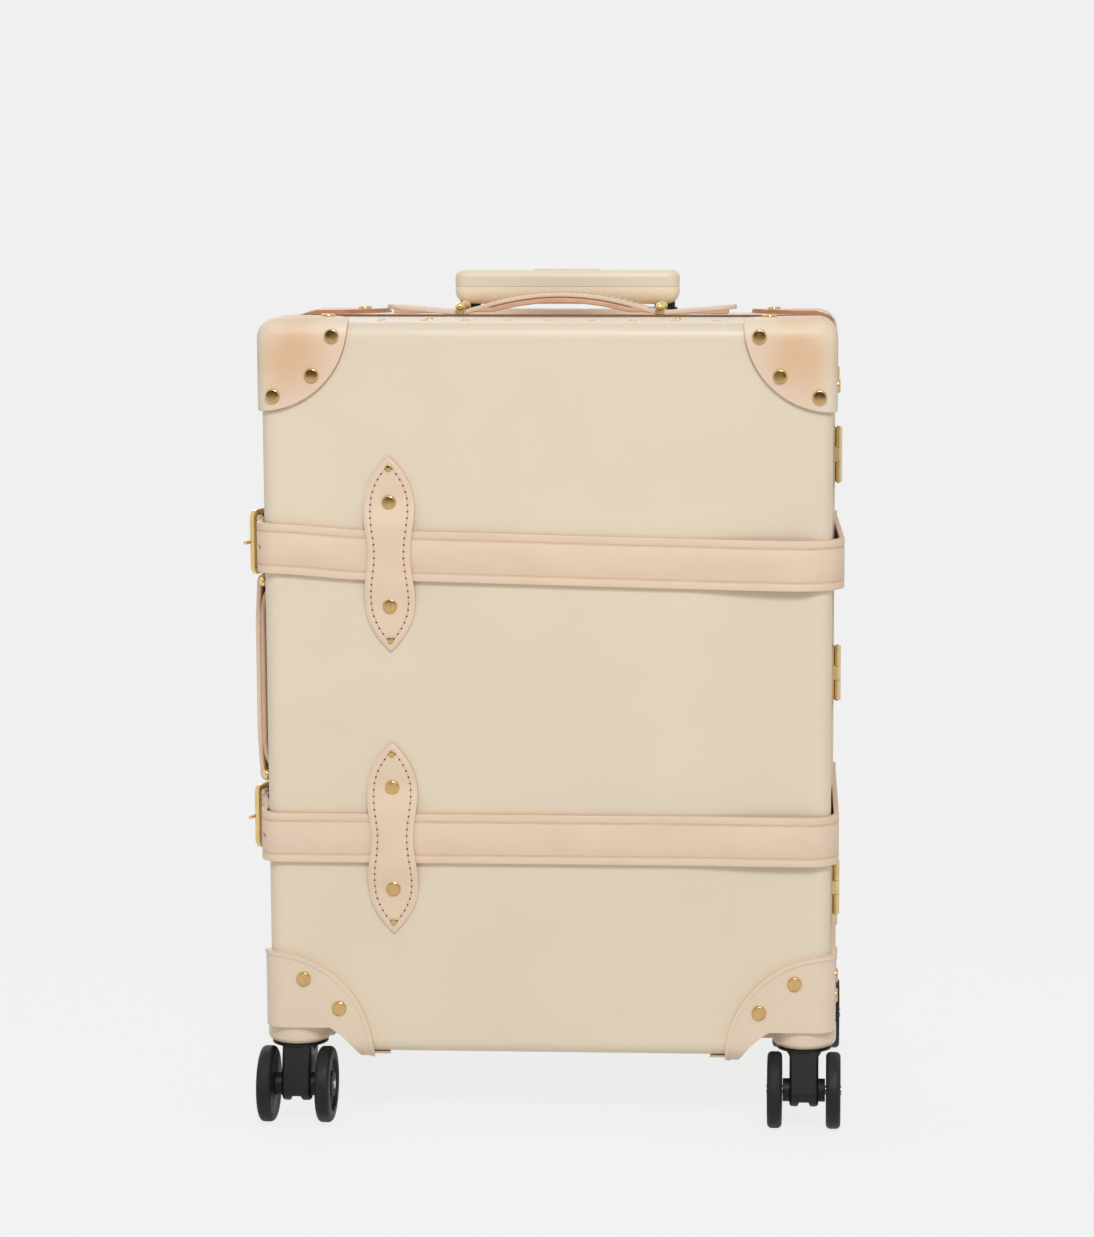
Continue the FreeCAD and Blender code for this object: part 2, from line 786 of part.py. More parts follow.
def lock_slider(z):
    """Thumb piece with its stem."""
    middle = seam_gap + lock_width / 2
    outside = side + lock_height + slider_clearance
    half_y = slider_width / 2
    half_z = slider_length / 2
    knob = rounded_box(-outside - slider_height, -outside, middle - half_y, middle + half_y,
                       z - half_z, z + half_z, slider_round)
    stem = box(-outside, -outside + slider_stem_depth + slider_clearance,
               middle - slider_stem[0] / 2, middle + slider_stem[0] / 2,
               z - slider_stem[1] / 2, z + slider_stem[1] / 2)
    return knob.fuse(stem)


def lock_striker(z):
    """Plate on the lid with a raised tongue that enters the lock's mouth."""
    plate = box(-side - striker_plate, -side, -striker_width, -seam_gap,
                z - striker_length / 2, z + striker_length / 2)
    top = side + striker_tongue_from_side + striker_tongue_thickness
    bottom = side + striker_tongue_from_side
    low = z - striker_tongue_half
    high = z + striker_tongue_half
    block = box(-top, -side, -striker_width + striker_shoulder, -striker_shoulder, low, high)
    tongue = box(-top, -bottom, -striker_width + striker_shoulder, striker_reach, low, high)
    return plate.fuse([block, tongue]).removeSplitter()


# Handles, drawn lying on the XY plane with their outside up, then moved to their seat

def handle_loops(spacing):
    """Pair of brass loops: a bar over the leather, ball corners and two legs."""
    loops = []
    half = loop_leg_spread / 2
    for x in (-spacing / 2, spacing / 2):
        parts = [Part.makeCylinder(loop_bar_radius, loop_leg_spread, V(x, -half, loop_bar_height), BACK)]
        for y in (-half, half):
            parts.append(Part.makeCylinder(loop_bar_radius, loop_bar_height, V(x, y, 0)))
            parts.append(Part.makeSphere(loop_ball_radius, V(x, y, loop_bar_height)))
        loops.append(parts[0].fuse(parts[1:]).removeSplitter())
    return loops


def handle_strap(path, pad, bend_radius):
    """Arched leather strap with a padded layer under its middle."""
    half = handle_width / 2
    layers = []
    for points, thickness in ((path, handle_leather), (pad, handle_pad)):
        mirrored = [(-x, z) for x, z in points] + [(x, z) for x, z in reversed(points) if x > 0]
        layers.append(ribbon(mirrored, thickness, bend_radius, -half, half))
    strap = layers[0].fuse(layers[1])
    strap.rotate(V(0, 0, 0), RIGHT, 90)
    reach = path[0][0]
    outline = rounded_box(-reach, reach, -half, half, -case_height, case_height, handle_tip_round)
    return strap.common(outline).removeSplitter()


def arch_pad(shoulder, rise):
    """Middle line of the padded layer below the strap's arch."""
    drop = (handle_leather + handle_pad) / 2 - handle_overlap
    return [(shoulder[0], shoulder[1] - drop), (0, rise - drop)]


def top_handle_parts():
    flat = top_loop_spacing / 2
    path = [
        (top_handle_half, top_handle_tab_rise),
        (flat + 2 * loop_bar_radius, strap_seat),
        (flat - 2 * loop_bar_radius, strap_seat),
        top_handle_shoulder,
        (0, top_handle_rise),
    ]
    strap = handle_strap(path, arch_pad(top_handle_shoulder, top_handle_rise), strap_turn_radius / 2)
    pieces = [strap] + handle_loops(top_loop_spacing)
    return [lifted(piece, 0, handle_from_seam, case_top) for piece in pieces]


def folded_strap():
    """Flat strap of two plies, folded round the bars of its loops; the inner ply meets under the middle."""
    flat = side_loop_spacing / 2
    half = handle_width / 2
    wrap = loop_bar_radius + side_ply_gap + side_ply / 2
    drop = side_ply + side_ply_gap
    reach, height = side_handle_shoulder
    right = [
        (side_ply_butt, height - drop),
        (reach, height - drop),
        (flat - side_fold, loop_bar_height + wrap - drop),
        (flat - wrap, loop_bar_height - wrap),
        (flat + wrap, loop_bar_height - wrap),
        (flat + wrap, loop_bar_height + wrap),
        (reach, height),
    ]
    left = [(-x, z) for x, z in reversed(right)]
    strap = ribbon(right + left, side_ply, wrap - side_bend_ease, -half, half)
    strap.rotate(V(0, 0, 0), RIGHT, 90)
    return strap


def side_handle_parts():
    pieces = []
    for piece in [folded_strap()] + handle_loops(side_loop_spacing):
        turned = piece.copy()
        turned.rotate(V(0, 0, 0), BACK, -90)
        pieces.append(lifted(turned, -side, side_handle_y, side_handle_height))
    return pieces


# Trolley

def tube(size, low, high, wall=tube_wall):
    """Upright tube of rounded rectangular section at the left tube's place."""
    x = -tube_spacing / 2
    y = tube_from_seam
    half_x, half_y = size[0] / 2, size[1] / 2
    outer = rounded_box(x - half_x, x + half_x, y - half_y, y + half_y, low, high, size[1] * tube_round_share)
    inner = rounded_box(x - half_x + wall, x + half_x - wall, y - half_y + wall, y + half_y - wall,
                        low, high, size[1] * tube_round_share - wall)
    return outer.cut(inner)


def tube_plug(size, low, high):
    """Solid of a tube's outside, to cut seats for it."""
    x = -tube_spacing / 2
    y = tube_from_seam
    half_x, half_y = size[0] / 2, size[1] / 2
    return rounded_box(x - half_x, x + half_x, y - half_y, y + half_y, low, high, size[1] * tube_round_share)


def trolley_top_plate():
    """Plate on the case's top that guides the middle tubes."""
    length, depth, height = top_plate
    y = tube_from_seam
    top = case_top + height
    plate = rounded_box(-length / 2, length / 2, y - depth / 2, y + depth / 2, case_top, top, depth / 3)
    opening = [size + 2 * tube_clearance for size in middle_tube]
    return plate.cut(both_sides(tube_plug(opening, case_top, top)))


def trolley_bracket():
    """Bracket on the case's floor that holds the outer tubes."""
    length, depth = bracket_plate
    floor = case_bottom + board
    y = tube_from_seam
    plate = box(-length / 2, length / 2, y - depth / 2, y + depth / 2, floor, outer_tube_bottom)
    socket_size = [size + 2 * socket_wall for size in outer_tube]
    sockets = both_sides(tube_plug(socket_size, outer_tube_bottom, outer_tube_bottom + socket_height))
    seats = both_sides(tube_plug(outer_tube, outer_tube_bottom, outer_tube_bottom + socket_height))
    return plate.fuse(sockets).cut(seats).removeSplitter()


def grip_block(grow):
    """Rounded bar of the grip, grown or shrunk."""
    y = tube_from_seam
    half_x = grip_width / 2 + grow
    half_y = grip_depth / 2 + grow
    block = box(-half_x, half_x, y - half_y, y + half_y, grip_bottom - grow, grip_top + grow)
    rest = [edge for edge in block.Edges if edge.CenterOfMass.z < grip_top + grow - 0.01]
    block = block.makeFillet(grip_round + grow, rest)
    rim = [edge for edge in block.Edges if abs(edge.CenterOfMass.z - grip_top - grow) < 0.01]
    return block.makeFillet(grip_top_round + grow, rim)


def break_parting(half):
    """Bevel a grip moulding's outer edge where it meets the other one."""
    outside_x = (grip_width - grip_wall) / 2
    outside_y = (grip_depth - grip_wall) / 2
    edges = []
    for edge in half.Edges:
        points = [vertex.Point for vertex in edge.Vertexes]
        level = all(abs(point.z - grip_split) < 0.01 for point in points)
        outer = all(abs(point.x) > outside_x or abs(point.y - tube_from_seam) > outside_y for point in points)
        if level and outer:
            edges.append(edge)
    return half.makeChamfer(grip_parting, edges)


def grip_halves():
    """Lower and upper mouldings of the grip, hollow for the release bar."""
    hollow = grip_block(-grip_wall)
    shell = grip_block(0).cut(hollow)
    reach = case_width
    lower = shell.common(box(-reach, reach, 0, reach, 0, grip_split))
    upper = shell.common(box(-reach, reach, 0, reach, grip_split, 2 * grip_top))
    lower = lower.cut(both_sides(tube_plug(inner_tube, case_top, grip_split)))
    half_x = button_length / 2 + slider_clearance
    half_y = button_width / 2 + slider_clearance
    y = tube_from_seam
    button_hole = rounded_box(-half_x, half_x, y - half_y, y + half_y, grip_split, 2 * grip_top, button_round)
    return break_parting(lower), break_parting(upper.cut(button_hole))


def release_button():
    """Push button with the bar and the two rods that it pushes down the tubes."""
    y = tube_from_seam
    bar_top = grip_top - grip_wall - slider_clearance
    bar_bottom = bar_top - release_bar_height
    button = rounded_box(-button_length / 2, button_length / 2, y - button_width / 2, y + button_width / 2,
                         bar_bottom, grip_top + button_proud, button_round)
    half_y = release_bar_width / 2
    half_x = tube_spacing / 2 + half_y
    bar = box(-half_x, half_x, y - half_y, y + half_y, bar_bottom, bar_top)
    rod_length = (bar_bottom + bar_top) / 2 - release_rod_bottom
    rod = Part.makeCylinder(release_rod_radius, rod_length, V(-tube_spacing / 2, y, release_rod_bottom))
    return button.fuse([bar] + both_sides(rod)).removeSplitter()


# Casters, drawn about the swivel axis with the wheels trailing to +Y; the front ones are turned about

def caster_fork():
    """Turntable with its stem, and an arm between the wheels that carries the axle bosses."""
    top = cup_bottom - side_clearance
    table = Part.makeCylinder(turntable_radius, turntable_thickness, V(0, 0, top - turntable_thickness))
    stem = Part.makeCylinder(stem_radius, stem_length + side_clearance, V(0, 0, top))
    arm_top = top - turntable_thickness
    centre = V(0, trail, wheel_radius)
    nose = V(0, -fork_nose, arm_top)
    chin = V(0, -fork_nose, arm_top - fork_nose)
    turn = math.radians(fork_chin_angle)
    low = centre + V(0, -math.sin(turn), -math.cos(turn)) * fork_round
    base = centre + V(0, 0, -fork_round)
    back = centre + V(0, fork_round, 0)
    shoulder = V(0, fork_heel, arm_top)
    edges = [
        Part.LineSegment(nose, chin).toShape(),
        Part.LineSegment(chin, low).toShape(),
        Part.Arc(low, base, back).toShape(),
        Part.LineSegment(back, shoulder).toShape(),
        Part.LineSegment(shoulder, nose).toShape(),
    ]
    arm = Part.Face(Part.Wire(edges)).extrude(V(fork_width, 0, 0))
    arm.translate(V(-fork_width / 2, 0, 0))
    below_cup = arm_top - side_clearance
    front_edges = [edge for edge in arm.Edges
                   if abs(edge.tangentAt(edge.FirstParameter).x) < 0.1 and edge.CenterOfMass.z < below_cup]
    arm = arm.makeFillet(fork_edge_round, front_edges)
    neck = Part.makeCone(fork_width / 2, fork_width / 2 + fork_flare, fork_flare_height,
                         V(0, 0, arm_top - fork_flare_height))
    boss_half = wheel_spacing / 2 - wheel_width / 2 - side_clearance
    boss = Part.makeCylinder(boss_radius, 2 * boss_half, centre - V(boss_half, 0, 0), RIGHT)
    bore = Part.makeCylinder(axle_radius, 4 * boss_half, centre - V(2 * boss_half, 0, 0), RIGHT)
    half = fork_notch_width / 2
    mouth = half + fork_notch_flare
    corners = [(mouth, 0), (mouth, base.z), (half, base.z + fork_notch_depth)]
    outline = [V(x, -fork_nose, z) for x, z in corners] + [V(-x, -fork_nose, z) for x, z in reversed(corners)]
    through = V(0, trail + 2 * fork_round + fork_nose, 0)
    notch = Part.Face(Part.makePolygon(outline + outline[:1])).extrude(through)
    return table.fuse([stem, arm, neck, boss]).cut([bore, notch]).removeSplitter()


def caster_axle():
    half = wheel_spacing / 2 + wheel_width / 2 + axle_overhang
    return Part.makeCylinder(axle_radius, 2 * half, V(-half, trail, wheel_radius), RIGHT)


def caster_wheel(hand):
    """One wheel: tread with rounded shoulders, dished outer face and a hub."""
    half = wheel_width / 2
    floor = half - wheel_dish
    slope = wheel_dish / 2
    rim = wheel_radius - wheel_rim
    bore = axle_radius + running_clearance
    outline = [
        (bore, -half), (wheel_radius, -half), (wheel_radius, half),
        (rim, half), (rim - slope, floor), (wheel_hub + slope, floor), (wheel_hub, half), (bore, half),
    ]
    corners = [V(x, 0, r) for r, x in outline]
    wheel = Part.Face(Part.makePolygon(corners + corners[:1])).revolve(V(0, 0, 0), RIGHT, 360)
    tread_edges = [edge for edge in wheel.Edges
                   if len(edge.Vertexes) == 1 and abs(edge.Curve.Radius - wheel_radius) < 0.01]
    wheel = wheel.makeFillet(wheel_tread_round, tread_edges)
    if hand < 0:
        wheel = mirror_x(wheel)
    return lifted(wheel, hand * wheel_spacing / 2, trail, wheel_radius)


def build_casters():
    pieces = {
        "fork": caster_fork(),
        "axle": caster_axle(),
        "wheel_l": caster_wheel(-1),
        "wheel_r": caster_wheel(1),
    }
    for side_name, x in (("left", -swivel_x), ("right", swivel_x)):
        for piece_name, piece in pieces.items():
            rear = lifted(piece, x, swivel_y, 0)
            save("rear_" + side_name + "_" + piece_name, [rear])
            save("front_" + side_name + "_" + piece_name, [mirror_y(rear)])


def build_case():
    front, rear = shell_halves()
    save("front_shell", [front])
    save("rear_shell", [rear])
    rear_bars = rails()
    save("rear_rails", rear_bars)
    save("front_rails", [mirror_y(bar) for bar in rear_bars])
    save("front_lining", [front_lining()])
    save("rear_lining", [rear_lining()])
    save("rear_binding", binding())
    caps = both_sides(leather_cap())
    save("front_caps", caps)
    save("rear_caps", [mirror_y(cap) for cap in caps])
    corners = both_sides(wheel_corner())
    save("front_wheel_corners", corners)
    save("rear_wheel_corners", [mirror_y(corner) for corner in corners])
    left = corner_rivets()
    shared = left + [mirror_x(head) for head in left] + patch_rivets()
    save("front_rivets", shared + lid_top_rivets())
    save("rear_rivets", [mirror_y(head) for head in shared])


def build_straps():
    save("front_straps", [front_strap(z) for z in strap_heights])
    save("rear_straps", [rear_strap(z) for z in strap_heights])
    save("strap_bends", [strap_bend(z) for z in strap_heights])
    save("strap_tongues", [strap_tongue(z) for z in strap_heights])
    save("strap_keepers", [keeper_loop(z) for z in strap_heights])
    patches = [front_patch(z) for z in strap_heights]
    save("front_patches", patches)
    save("rear_patches", [mirror_y(patch) for patch in patches])
    save("buckle_frames", [buckle_frame(z) for z in strap_heights])
    for name, z in zip(("lower_prong", "upper_prong"), strap_heights):
        save(name, [prong(z)])


def build_fittings():
    save("hinge_body_leaves", [body_leaf(z) for z in hinge_heights])
    save("hinge_lid_leaves", [lid_leaf(z) for z in hinge_heights])
    save("hinge_pins", [hinge_pin(z) for z in hinge_heights])
    save("lock_cases", [lock_case(z) for z in lock_heights])
    save("lock_strikers", [lock_striker(z) for z in lock_heights])
    for name, z in zip(("lower_lock_slider", "upper_lock_slider"), lock_heights):
        save(name, [lock_slider(z)])
    for name, parts in (("top_handle", top_handle_parts()), ("side_handle", side_handle_parts())):
        save(name, parts[:1])
        save(name + "_loops", parts[1:])


def build_trolley():
    save("trolley_top_plate", [trolley_top_plate()])
    save("trolley_bracket", [trolley_bracket()])
    save("trolley_cover_panel", [cover_panel()])
    save("trolley_outer_tubes", both_sides(tube(outer_tube, outer_tube_bottom, case_top)))
    middle_top = case_top + top_plate[2] + middle_tube_rise
    save("trolley_middle_tubes", both_sides(tube(middle_tube, middle_tube_bottom, middle_top)))
    save("trolley_inner_tubes", both_sides(tube(inner_tube, inner_tube_bottom, grip_bottom + grip_wall)))
    lower, upper = grip_halves()
    save("grip_lower", [lower])
    save("grip_upper", [upper])
    save("release_button", [release_button()])


os.makedirs("parts", exist_ok=True)
build_case()
build_straps()
build_fittings()
build_trolley()
build_casters()
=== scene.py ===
import json
import math

import bmesh
import bpy
from bpy.props import FloatProperty, FloatVectorProperty, PointerProperty
from mathutils import Matrix, Vector
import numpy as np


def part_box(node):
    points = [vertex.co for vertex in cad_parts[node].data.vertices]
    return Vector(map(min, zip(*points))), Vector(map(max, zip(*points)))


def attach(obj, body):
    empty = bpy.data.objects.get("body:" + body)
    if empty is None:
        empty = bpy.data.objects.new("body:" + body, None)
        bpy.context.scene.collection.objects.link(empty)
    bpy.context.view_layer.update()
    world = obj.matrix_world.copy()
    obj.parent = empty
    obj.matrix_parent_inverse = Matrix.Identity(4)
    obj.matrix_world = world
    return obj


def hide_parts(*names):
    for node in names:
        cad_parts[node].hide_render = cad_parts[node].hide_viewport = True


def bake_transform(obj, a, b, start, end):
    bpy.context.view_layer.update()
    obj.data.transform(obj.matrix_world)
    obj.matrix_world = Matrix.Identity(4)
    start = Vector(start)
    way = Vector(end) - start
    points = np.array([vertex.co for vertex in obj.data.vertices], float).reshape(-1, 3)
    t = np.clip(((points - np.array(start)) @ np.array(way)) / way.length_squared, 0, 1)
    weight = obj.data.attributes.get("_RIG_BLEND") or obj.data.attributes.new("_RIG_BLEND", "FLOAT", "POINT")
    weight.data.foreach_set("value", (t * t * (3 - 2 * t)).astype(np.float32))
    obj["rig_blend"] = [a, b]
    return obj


bl_info = {
    "name": "Trunk Suitcase",
    "version": (1, 0, 0),
    "blender": (4, 5, 0),
    "location": "View3D > Sidebar > Suitcase",
    "description": "Leather, brass and finishes of a fibreboard carry-on case",
    "category": "Mesh",
}

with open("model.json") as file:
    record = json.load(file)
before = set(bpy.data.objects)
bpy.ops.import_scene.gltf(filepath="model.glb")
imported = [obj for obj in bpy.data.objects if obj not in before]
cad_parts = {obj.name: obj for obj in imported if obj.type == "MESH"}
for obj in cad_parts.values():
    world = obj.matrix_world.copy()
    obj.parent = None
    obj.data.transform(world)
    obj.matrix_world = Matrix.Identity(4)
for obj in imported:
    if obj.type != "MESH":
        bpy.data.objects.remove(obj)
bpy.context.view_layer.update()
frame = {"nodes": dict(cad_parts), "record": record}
MM = 0.001

# Places on the case, in metres
LID_LOW, LID_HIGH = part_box("front_shell")
SIDE = LID_HIGH.x
FACE = -LID_LOW.y
TOP = LID_HIGH.z
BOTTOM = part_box("rear_shell")[0].z
Z_AXIS = (0, 0, 1)
Y_AXIS = (0, 1, 0)
TO_BACK = (1, -1, 1)
TO_LEFT = (-1, 1, 1)
HALVES = (("front", "lid"), ("rear", "body"))


# Settings that a user may change

def length(name, description, default_mm):
    return FloatProperty(name=name, description=description, default=default_mm * MM, min=0.0, unit="LENGTH",
                         precision=4)


def colour(name, description, red, green, blue):
    """Colour setting, written as the 0 to 255 values of a picture."""
    return FloatVectorProperty(name=name, description=description, subtype="COLOR", size=3, min=0.0, max=1.0,
                               default=[linear(value / 255) for value in (red, green, blue)])


def linear(value):
    if value <= 0.04045:
        return value / 12.92
    return ((value + 0.055) / 1.055) ** 2.4


class SuitcaseSizes(bpy.types.PropertyGroup):
    """Sizes of the leather and brass details"""
    crease_inset: length("Crease inset", "Distance of the strap's crease lines from its edges", 5.3)
    stitch_pitch: length("Stitch pitch", "Distance from one stitch to the next", 4.3)
    stitch_inset: length("Stitch inset", "Distance of a seam from the leather's edge", 4.2)
    rivet_radius: length("Rivet radius", "Radius of the large brass rivet heads", 4.7)
    top_rivet_radius: length("Top rivet radius", "Radius of the two brass rivets on the lid's top", 2.6)
    pin_radius: length("Pin radius", "Radius of the small brass pins on the patches", 2.1)
    small_rivet_pitch: length("Small rivet pitch", "Spacing of the small rivets on the case's top", 26.6)


class SuitcaseColours(bpy.types.PropertyGroup):
    """Colours of the case's materials"""
    fibreboard: colour("Fibreboard", "Lacquered board of the two halves", 226, 211, 187)
    leather: colour("Leather", "Natural leather of straps, patches and handles", 228, 203, 179)
    # Deeper middle tone of the caps, partly real tan and partly painted shade; the straps' faint tan streaks
    # use it too
    cap_leather: colour("Cap leather", "Deeper tone in the middle of the corner caps", 220, 179, 138)
    # Painted highlight: the caps' paler tone over the case's rounded edges
    cap_edge_highlight: colour("Cap edge", "Paler tone of the caps along the case's edges", 232, 216, 192)
    # Darker edges of the caps and patches: partly burnished cut edge, partly painted shade along their rims
    leather_edge: colour("Leather edge", "Cut edges of the caps and patches", 190, 132, 92)
    strap_edge: colour("Strap edge", "Cut edges and creases of the straps", 219, 184, 154)
    handle_edge: colour("Handle edge", "Cut edges of the handle's lower layers, and creases", 213, 168, 138)
    # Real colour of the straps' back; it also paints the shade in the groove between the top handle's layers
    leather_back: colour("Leather back", "Rough back of the straps", 150, 96, 62)
    thread: colour("Thread", "Waxed thread of the seams", 221, 189, 162)
    # Painted shade: the dark colour of the seams' holes
    stitch_hole: colour("Stitch hole", "Holes of the seams", 104, 60, 36)
    brass: colour("Brass", "Rivets and locks", 214, 178, 118)
    # Lighter than the rivets' brass as painted light; its low roughness stands for the buckles' real polish
    bright_brass: colour("Bright brass", "Polished buckles, prongs and handle loops", 232, 204, 140)
    # Lighter than the rivets' brass as painted light on the hinges
    hinge_brass: colour("Hinge brass", "Brushed hinges", 226, 200, 152)
    plastic: colour("Plastic", "Moulded corners", 228, 208, 183)
    grip: colour("Grip", "Upper half of the trolley grip", 236, 222, 200)
    # Lighter copy of the grip's plastic: painted light on the lower half, which faces down into shade
    grip_lower: colour("Grip below", "Lower half of the trolley grip", 250, 231, 203)
    black: colour("Black", "Casters and tubes", 22, 21, 21)
    lining: colour("Lining", "Woven cloth inside", 190, 174, 150)
    wood: colour("Wood", "Rails at the mouth of each half", 205, 174, 132)
    binding: colour("Binding", "Brown edge binding along the seam", 134, 92, 74)


def sizes():
    return bpy.context.scene.suitcase_sizes


def colours():
    return bpy.context.scene.suitcase_colours


# Materials

# Values that most of a noise texture lies between
NOISE_SPAN = (0.3, 0.7)
# Deeper tone on the caps, partly real tan and partly painted shade: its middle on each face and how far it
# fades; and the painted highlight along the caps' rounded rim
TAN_AND_SHADE_SPOT = (19 * MM, 23 * MM, 0)
TAN_AND_SHADE_REACH = (2 * MM, 29 * MM)
PAINTED_RIM_HIGHLIGHT = (2 * MM, 13 * MM)
# Heights between which the binding turns from cream to brown
BROWN_FROM = (TOP - 9 * MM, TOP - 3 * MM)


class Finish:
    """A material being made: its shader, and short ways to add texture nodes on object coordinates"""

    def __init__(self, name, base, roughness, **sockets):
        self.material = bpy.data.materials.new(name)
        self.material.use_nodes = True
        self.nodes = self.material.node_tree.nodes
        self.links = self.material.node_tree.links
        self.shader = self.nodes["Principled BSDF"]
        self.base = tuple(base)
        self.shader.inputs["Base Color"].default_value = (*self.base, 1)
        self.shader.inputs["Roughness"].default_value = roughness
        for socket, value in sockets.items():
            self.shader.inputs[socket.replace("_", " ")].default_value = value
        self.place = self.nodes.new("ShaderNodeTexCoord").outputs["Object"]

    def add(self, kind, links=(), **settings):
        """Add a node; settings are its properties, links are (input, output socket or value) pairs."""
        node = self.nodes.new(kind)
        for name, value in settings.items():
            setattr(node, name, value)
        for socket, value in links:
            if isinstance(value, bpy.types.NodeSocket):
                self.links.new(value, node.inputs[socket])
            else:
                node.inputs[socket].default_value = value
        return node

    def noise(self, scale, detail=3.0, stretch=None, distortion=0.0):
        place = self.place
        if stretch:
            place = self.add("ShaderNodeMapping", [("Vector", place), ("Scale", stretch)]).outputs["Vector"]
        return self.add("ShaderNodeTexNoise", [
            ("Vector", place), ("Scale", scale), ("Detail", detail), ("Distortion", distortion),
        ]).outputs["Fac"]

    def cells(self, scale):
        pores = self.add("ShaderNodeTexVoronoi", [("Vector", self.place), ("Scale", scale)])
        return pores.outputs["Distance"]

    def weave(self, scale, direction):
        return self.add("ShaderNodeTexWave", [("Vector", self.place), ("Scale", scale), ("Distortion", 0.6)],
                        bands_direction=direction).outputs["Fac"]

    def math(self, operation, first, second=0.0):
        return self.add("ShaderNodeMath", [(0, first), (1, second)], operation=operation).outputs[0]

    def span(self, value, low, high, to_low=0.0, to_high=1.0):
        return self.add("ShaderNodeMapRange", [
            ("Value", value), ("From Min", low), ("From Max", high), ("To Min", to_low), ("To Max", to_high),
        ], interpolation_type="SMOOTHSTEP").outputs["Result"]

    def mix(self, factor, first, second):
        """Blend two colours; each is a colour or a socket."""
        ends = [end if isinstance(end, bpy.types.NodeSocket) else (*end, 1) for end in (first, second)]
        links = [("Factor", factor), (6, ends[0]), (7, ends[1])]
        return self.add("ShaderNodeMix", links, data_type="RGBA").outputs[2]

    def tone(self, amount):
        """The base colour made lighter or darker."""
        return tuple(min(1.0, value * amount) for value in self.base)

    def tones(self, factor, low, high):
        """Blend from a darker to a lighter tone by a noise."""
        return self.mix(self.span(factor, *NOISE_SPAN), self.tone(low), self.tone(high))

    def paint(self, output):
        self.links.new(output, self.shader.inputs["Base Color"])

    def roughen(self, factor, low, high):
        self.links.new(self.span(factor, *NOISE_SPAN, low, high), self.shader.inputs["Roughness"])

    def bump(self, height, distance, strength=1.0):
        """Add relief; several calls lie on top of each other."""
        socket = self.shader.inputs["Normal"]
        links = [("Height", height), ("Distance", distance), ("Strength", strength)]
        if socket.is_linked:
            links.append(("Normal", socket.links[0].from_socket))
        self.links.new(self.add("ShaderNodeBump", links).outputs["Normal"], socket)


def fibreboard_finish():
    """Lacquered vulcanised fibre: nearly even, with faint clouding and a fine pressed grain."""
    finish = Finish("fibreboard", colours().fibreboard, 0.42)
    cloud = finish.noise(9.0, 4.0)
    fleck = finish.noise(420.0, 2.0, stretch=(1.0, 1.0, 0.45))
    soft = finish.tones(cloud, 0.975, 1.02)
    finish.paint(finish.mix(finish.span(fleck, 0.62, 0.8, 0.0, 0.35), soft, finish.tone(0.93)))
    finish.roughen(cloud, 0.38, 0.47)
    finish.bump(finish.noise(55.0, 2.0), 0.12 * MM, 0.5)
    finish.bump(finish.noise(900.0, 2.0), 0.03 * MM, 0.5)
    return finish.material


def as_leather(finish, cloud, low, high):
    """Give a finish the sheen, fine pores and soft creases of smooth calf leather."""
    finish.roughen(cloud, low, high)
    finish.bump(finish.noise(140.0, 3.0, distortion=0.4), 0.12 * MM, 0.4)
    finish.bump(finish.cells(1100.0), 0.05 * MM, 0.5)
    return finish.material


def leather_finish():
    """Natural leather of the straps and patches, with faint tan streaks."""
    finish = Finish("natural_leather", colours().leather, 0.5)
    cloud = finish.noise(28.0, 4.0)
    streak = finish.noise(60.0, 3.0, stretch=(0.25, 0.25, 1.0))
    soft = finish.tones(cloud, 0.97, 1.02)
    finish.paint(finish.mix(finish.span(streak, 0.55, 0.75, 0.0, 0.15), soft, colours().cap_leather))
    return as_leather(finish, cloud, 0.45, 0.56)


def handle_finish():
    """Paler, softly clouded leather of the handles."""
    finish = Finish("handle_leather", [value * 1.03 for value in colours().leather], 0.5)
    cloud = finish.noise(45.0, 4.0)
    finish.paint(finish.tones(cloud, 0.94, 1.04))
    return as_leather(finish, cloud, 0.44, 0.56)


def cap_middle(finish):
    """Two falloffs on a cap's three faces: one high in their middle, for the deeper tone that is partly tan
    and partly painted shade, and one low at the case's edges, for the painted highlight there.
    """
    parts = finish.add("ShaderNodeSeparateXYZ", [("Vector", finish.place)]).outputs
    across = finish.math("SUBTRACT", SIDE, finish.math("ABSOLUTE", parts["X"]))
    down = finish.math("SUBTRACT", TOP, parts["Z"])
    depth = finish.math("SUBTRACT", FACE, finish.math("ABSOLUTE", parts["Y"]))
    least, most, total = [finish.math(operation, finish.math(operation, across, down), depth)
                          for operation in ("MINIMUM", "MAXIMUM", "ADD")]
    between = finish.math("SUBTRACT", finish.math("SUBTRACT", total, least), most)
    spot = finish.add("ShaderNodeCombineXYZ", [("X", between), ("Y", most)]).outputs["Vector"]
    away = finish.add("ShaderNodeVectorMath", [(0, spot), (1, TAN_AND_SHADE_SPOT)], operation="DISTANCE")
    return finish.span(away.outputs["Value"], *TAN_AND_SHADE_REACH, 1.0, 0.0), finish.span(between, *PAINTED_RIM_HIGHLIGHT)


def cap_finish():
    """Moulded leather of the caps: deeper in the middle, partly real tan and partly painted shade, and paler
    over the rounded edges as a painted highlight.
    """
    finish = Finish("cap_leather", colours().leather, 0.46)
    cloud = finish.noise(40.0, 4.0)
    middle, away_from_edge_highlight = cap_middle(finish)
    patchy_tan_and_shade = finish.math("MULTIPLY", middle, finish.span(cloud, 0.2, 0.8, 0.75, 1.0))
    # Painted highlight on the rounded edges, then the deeper middle, partly tan and partly painted shade
    plain = finish.mix(away_from_edge_highlight, colours().cap_edge_highlight, colours().leather)
    finish.paint(finish.mix(patchy_tan_and_shade, plain, colours().cap_leather))
    return as_leather(finish, cloud, 0.42, 0.52)


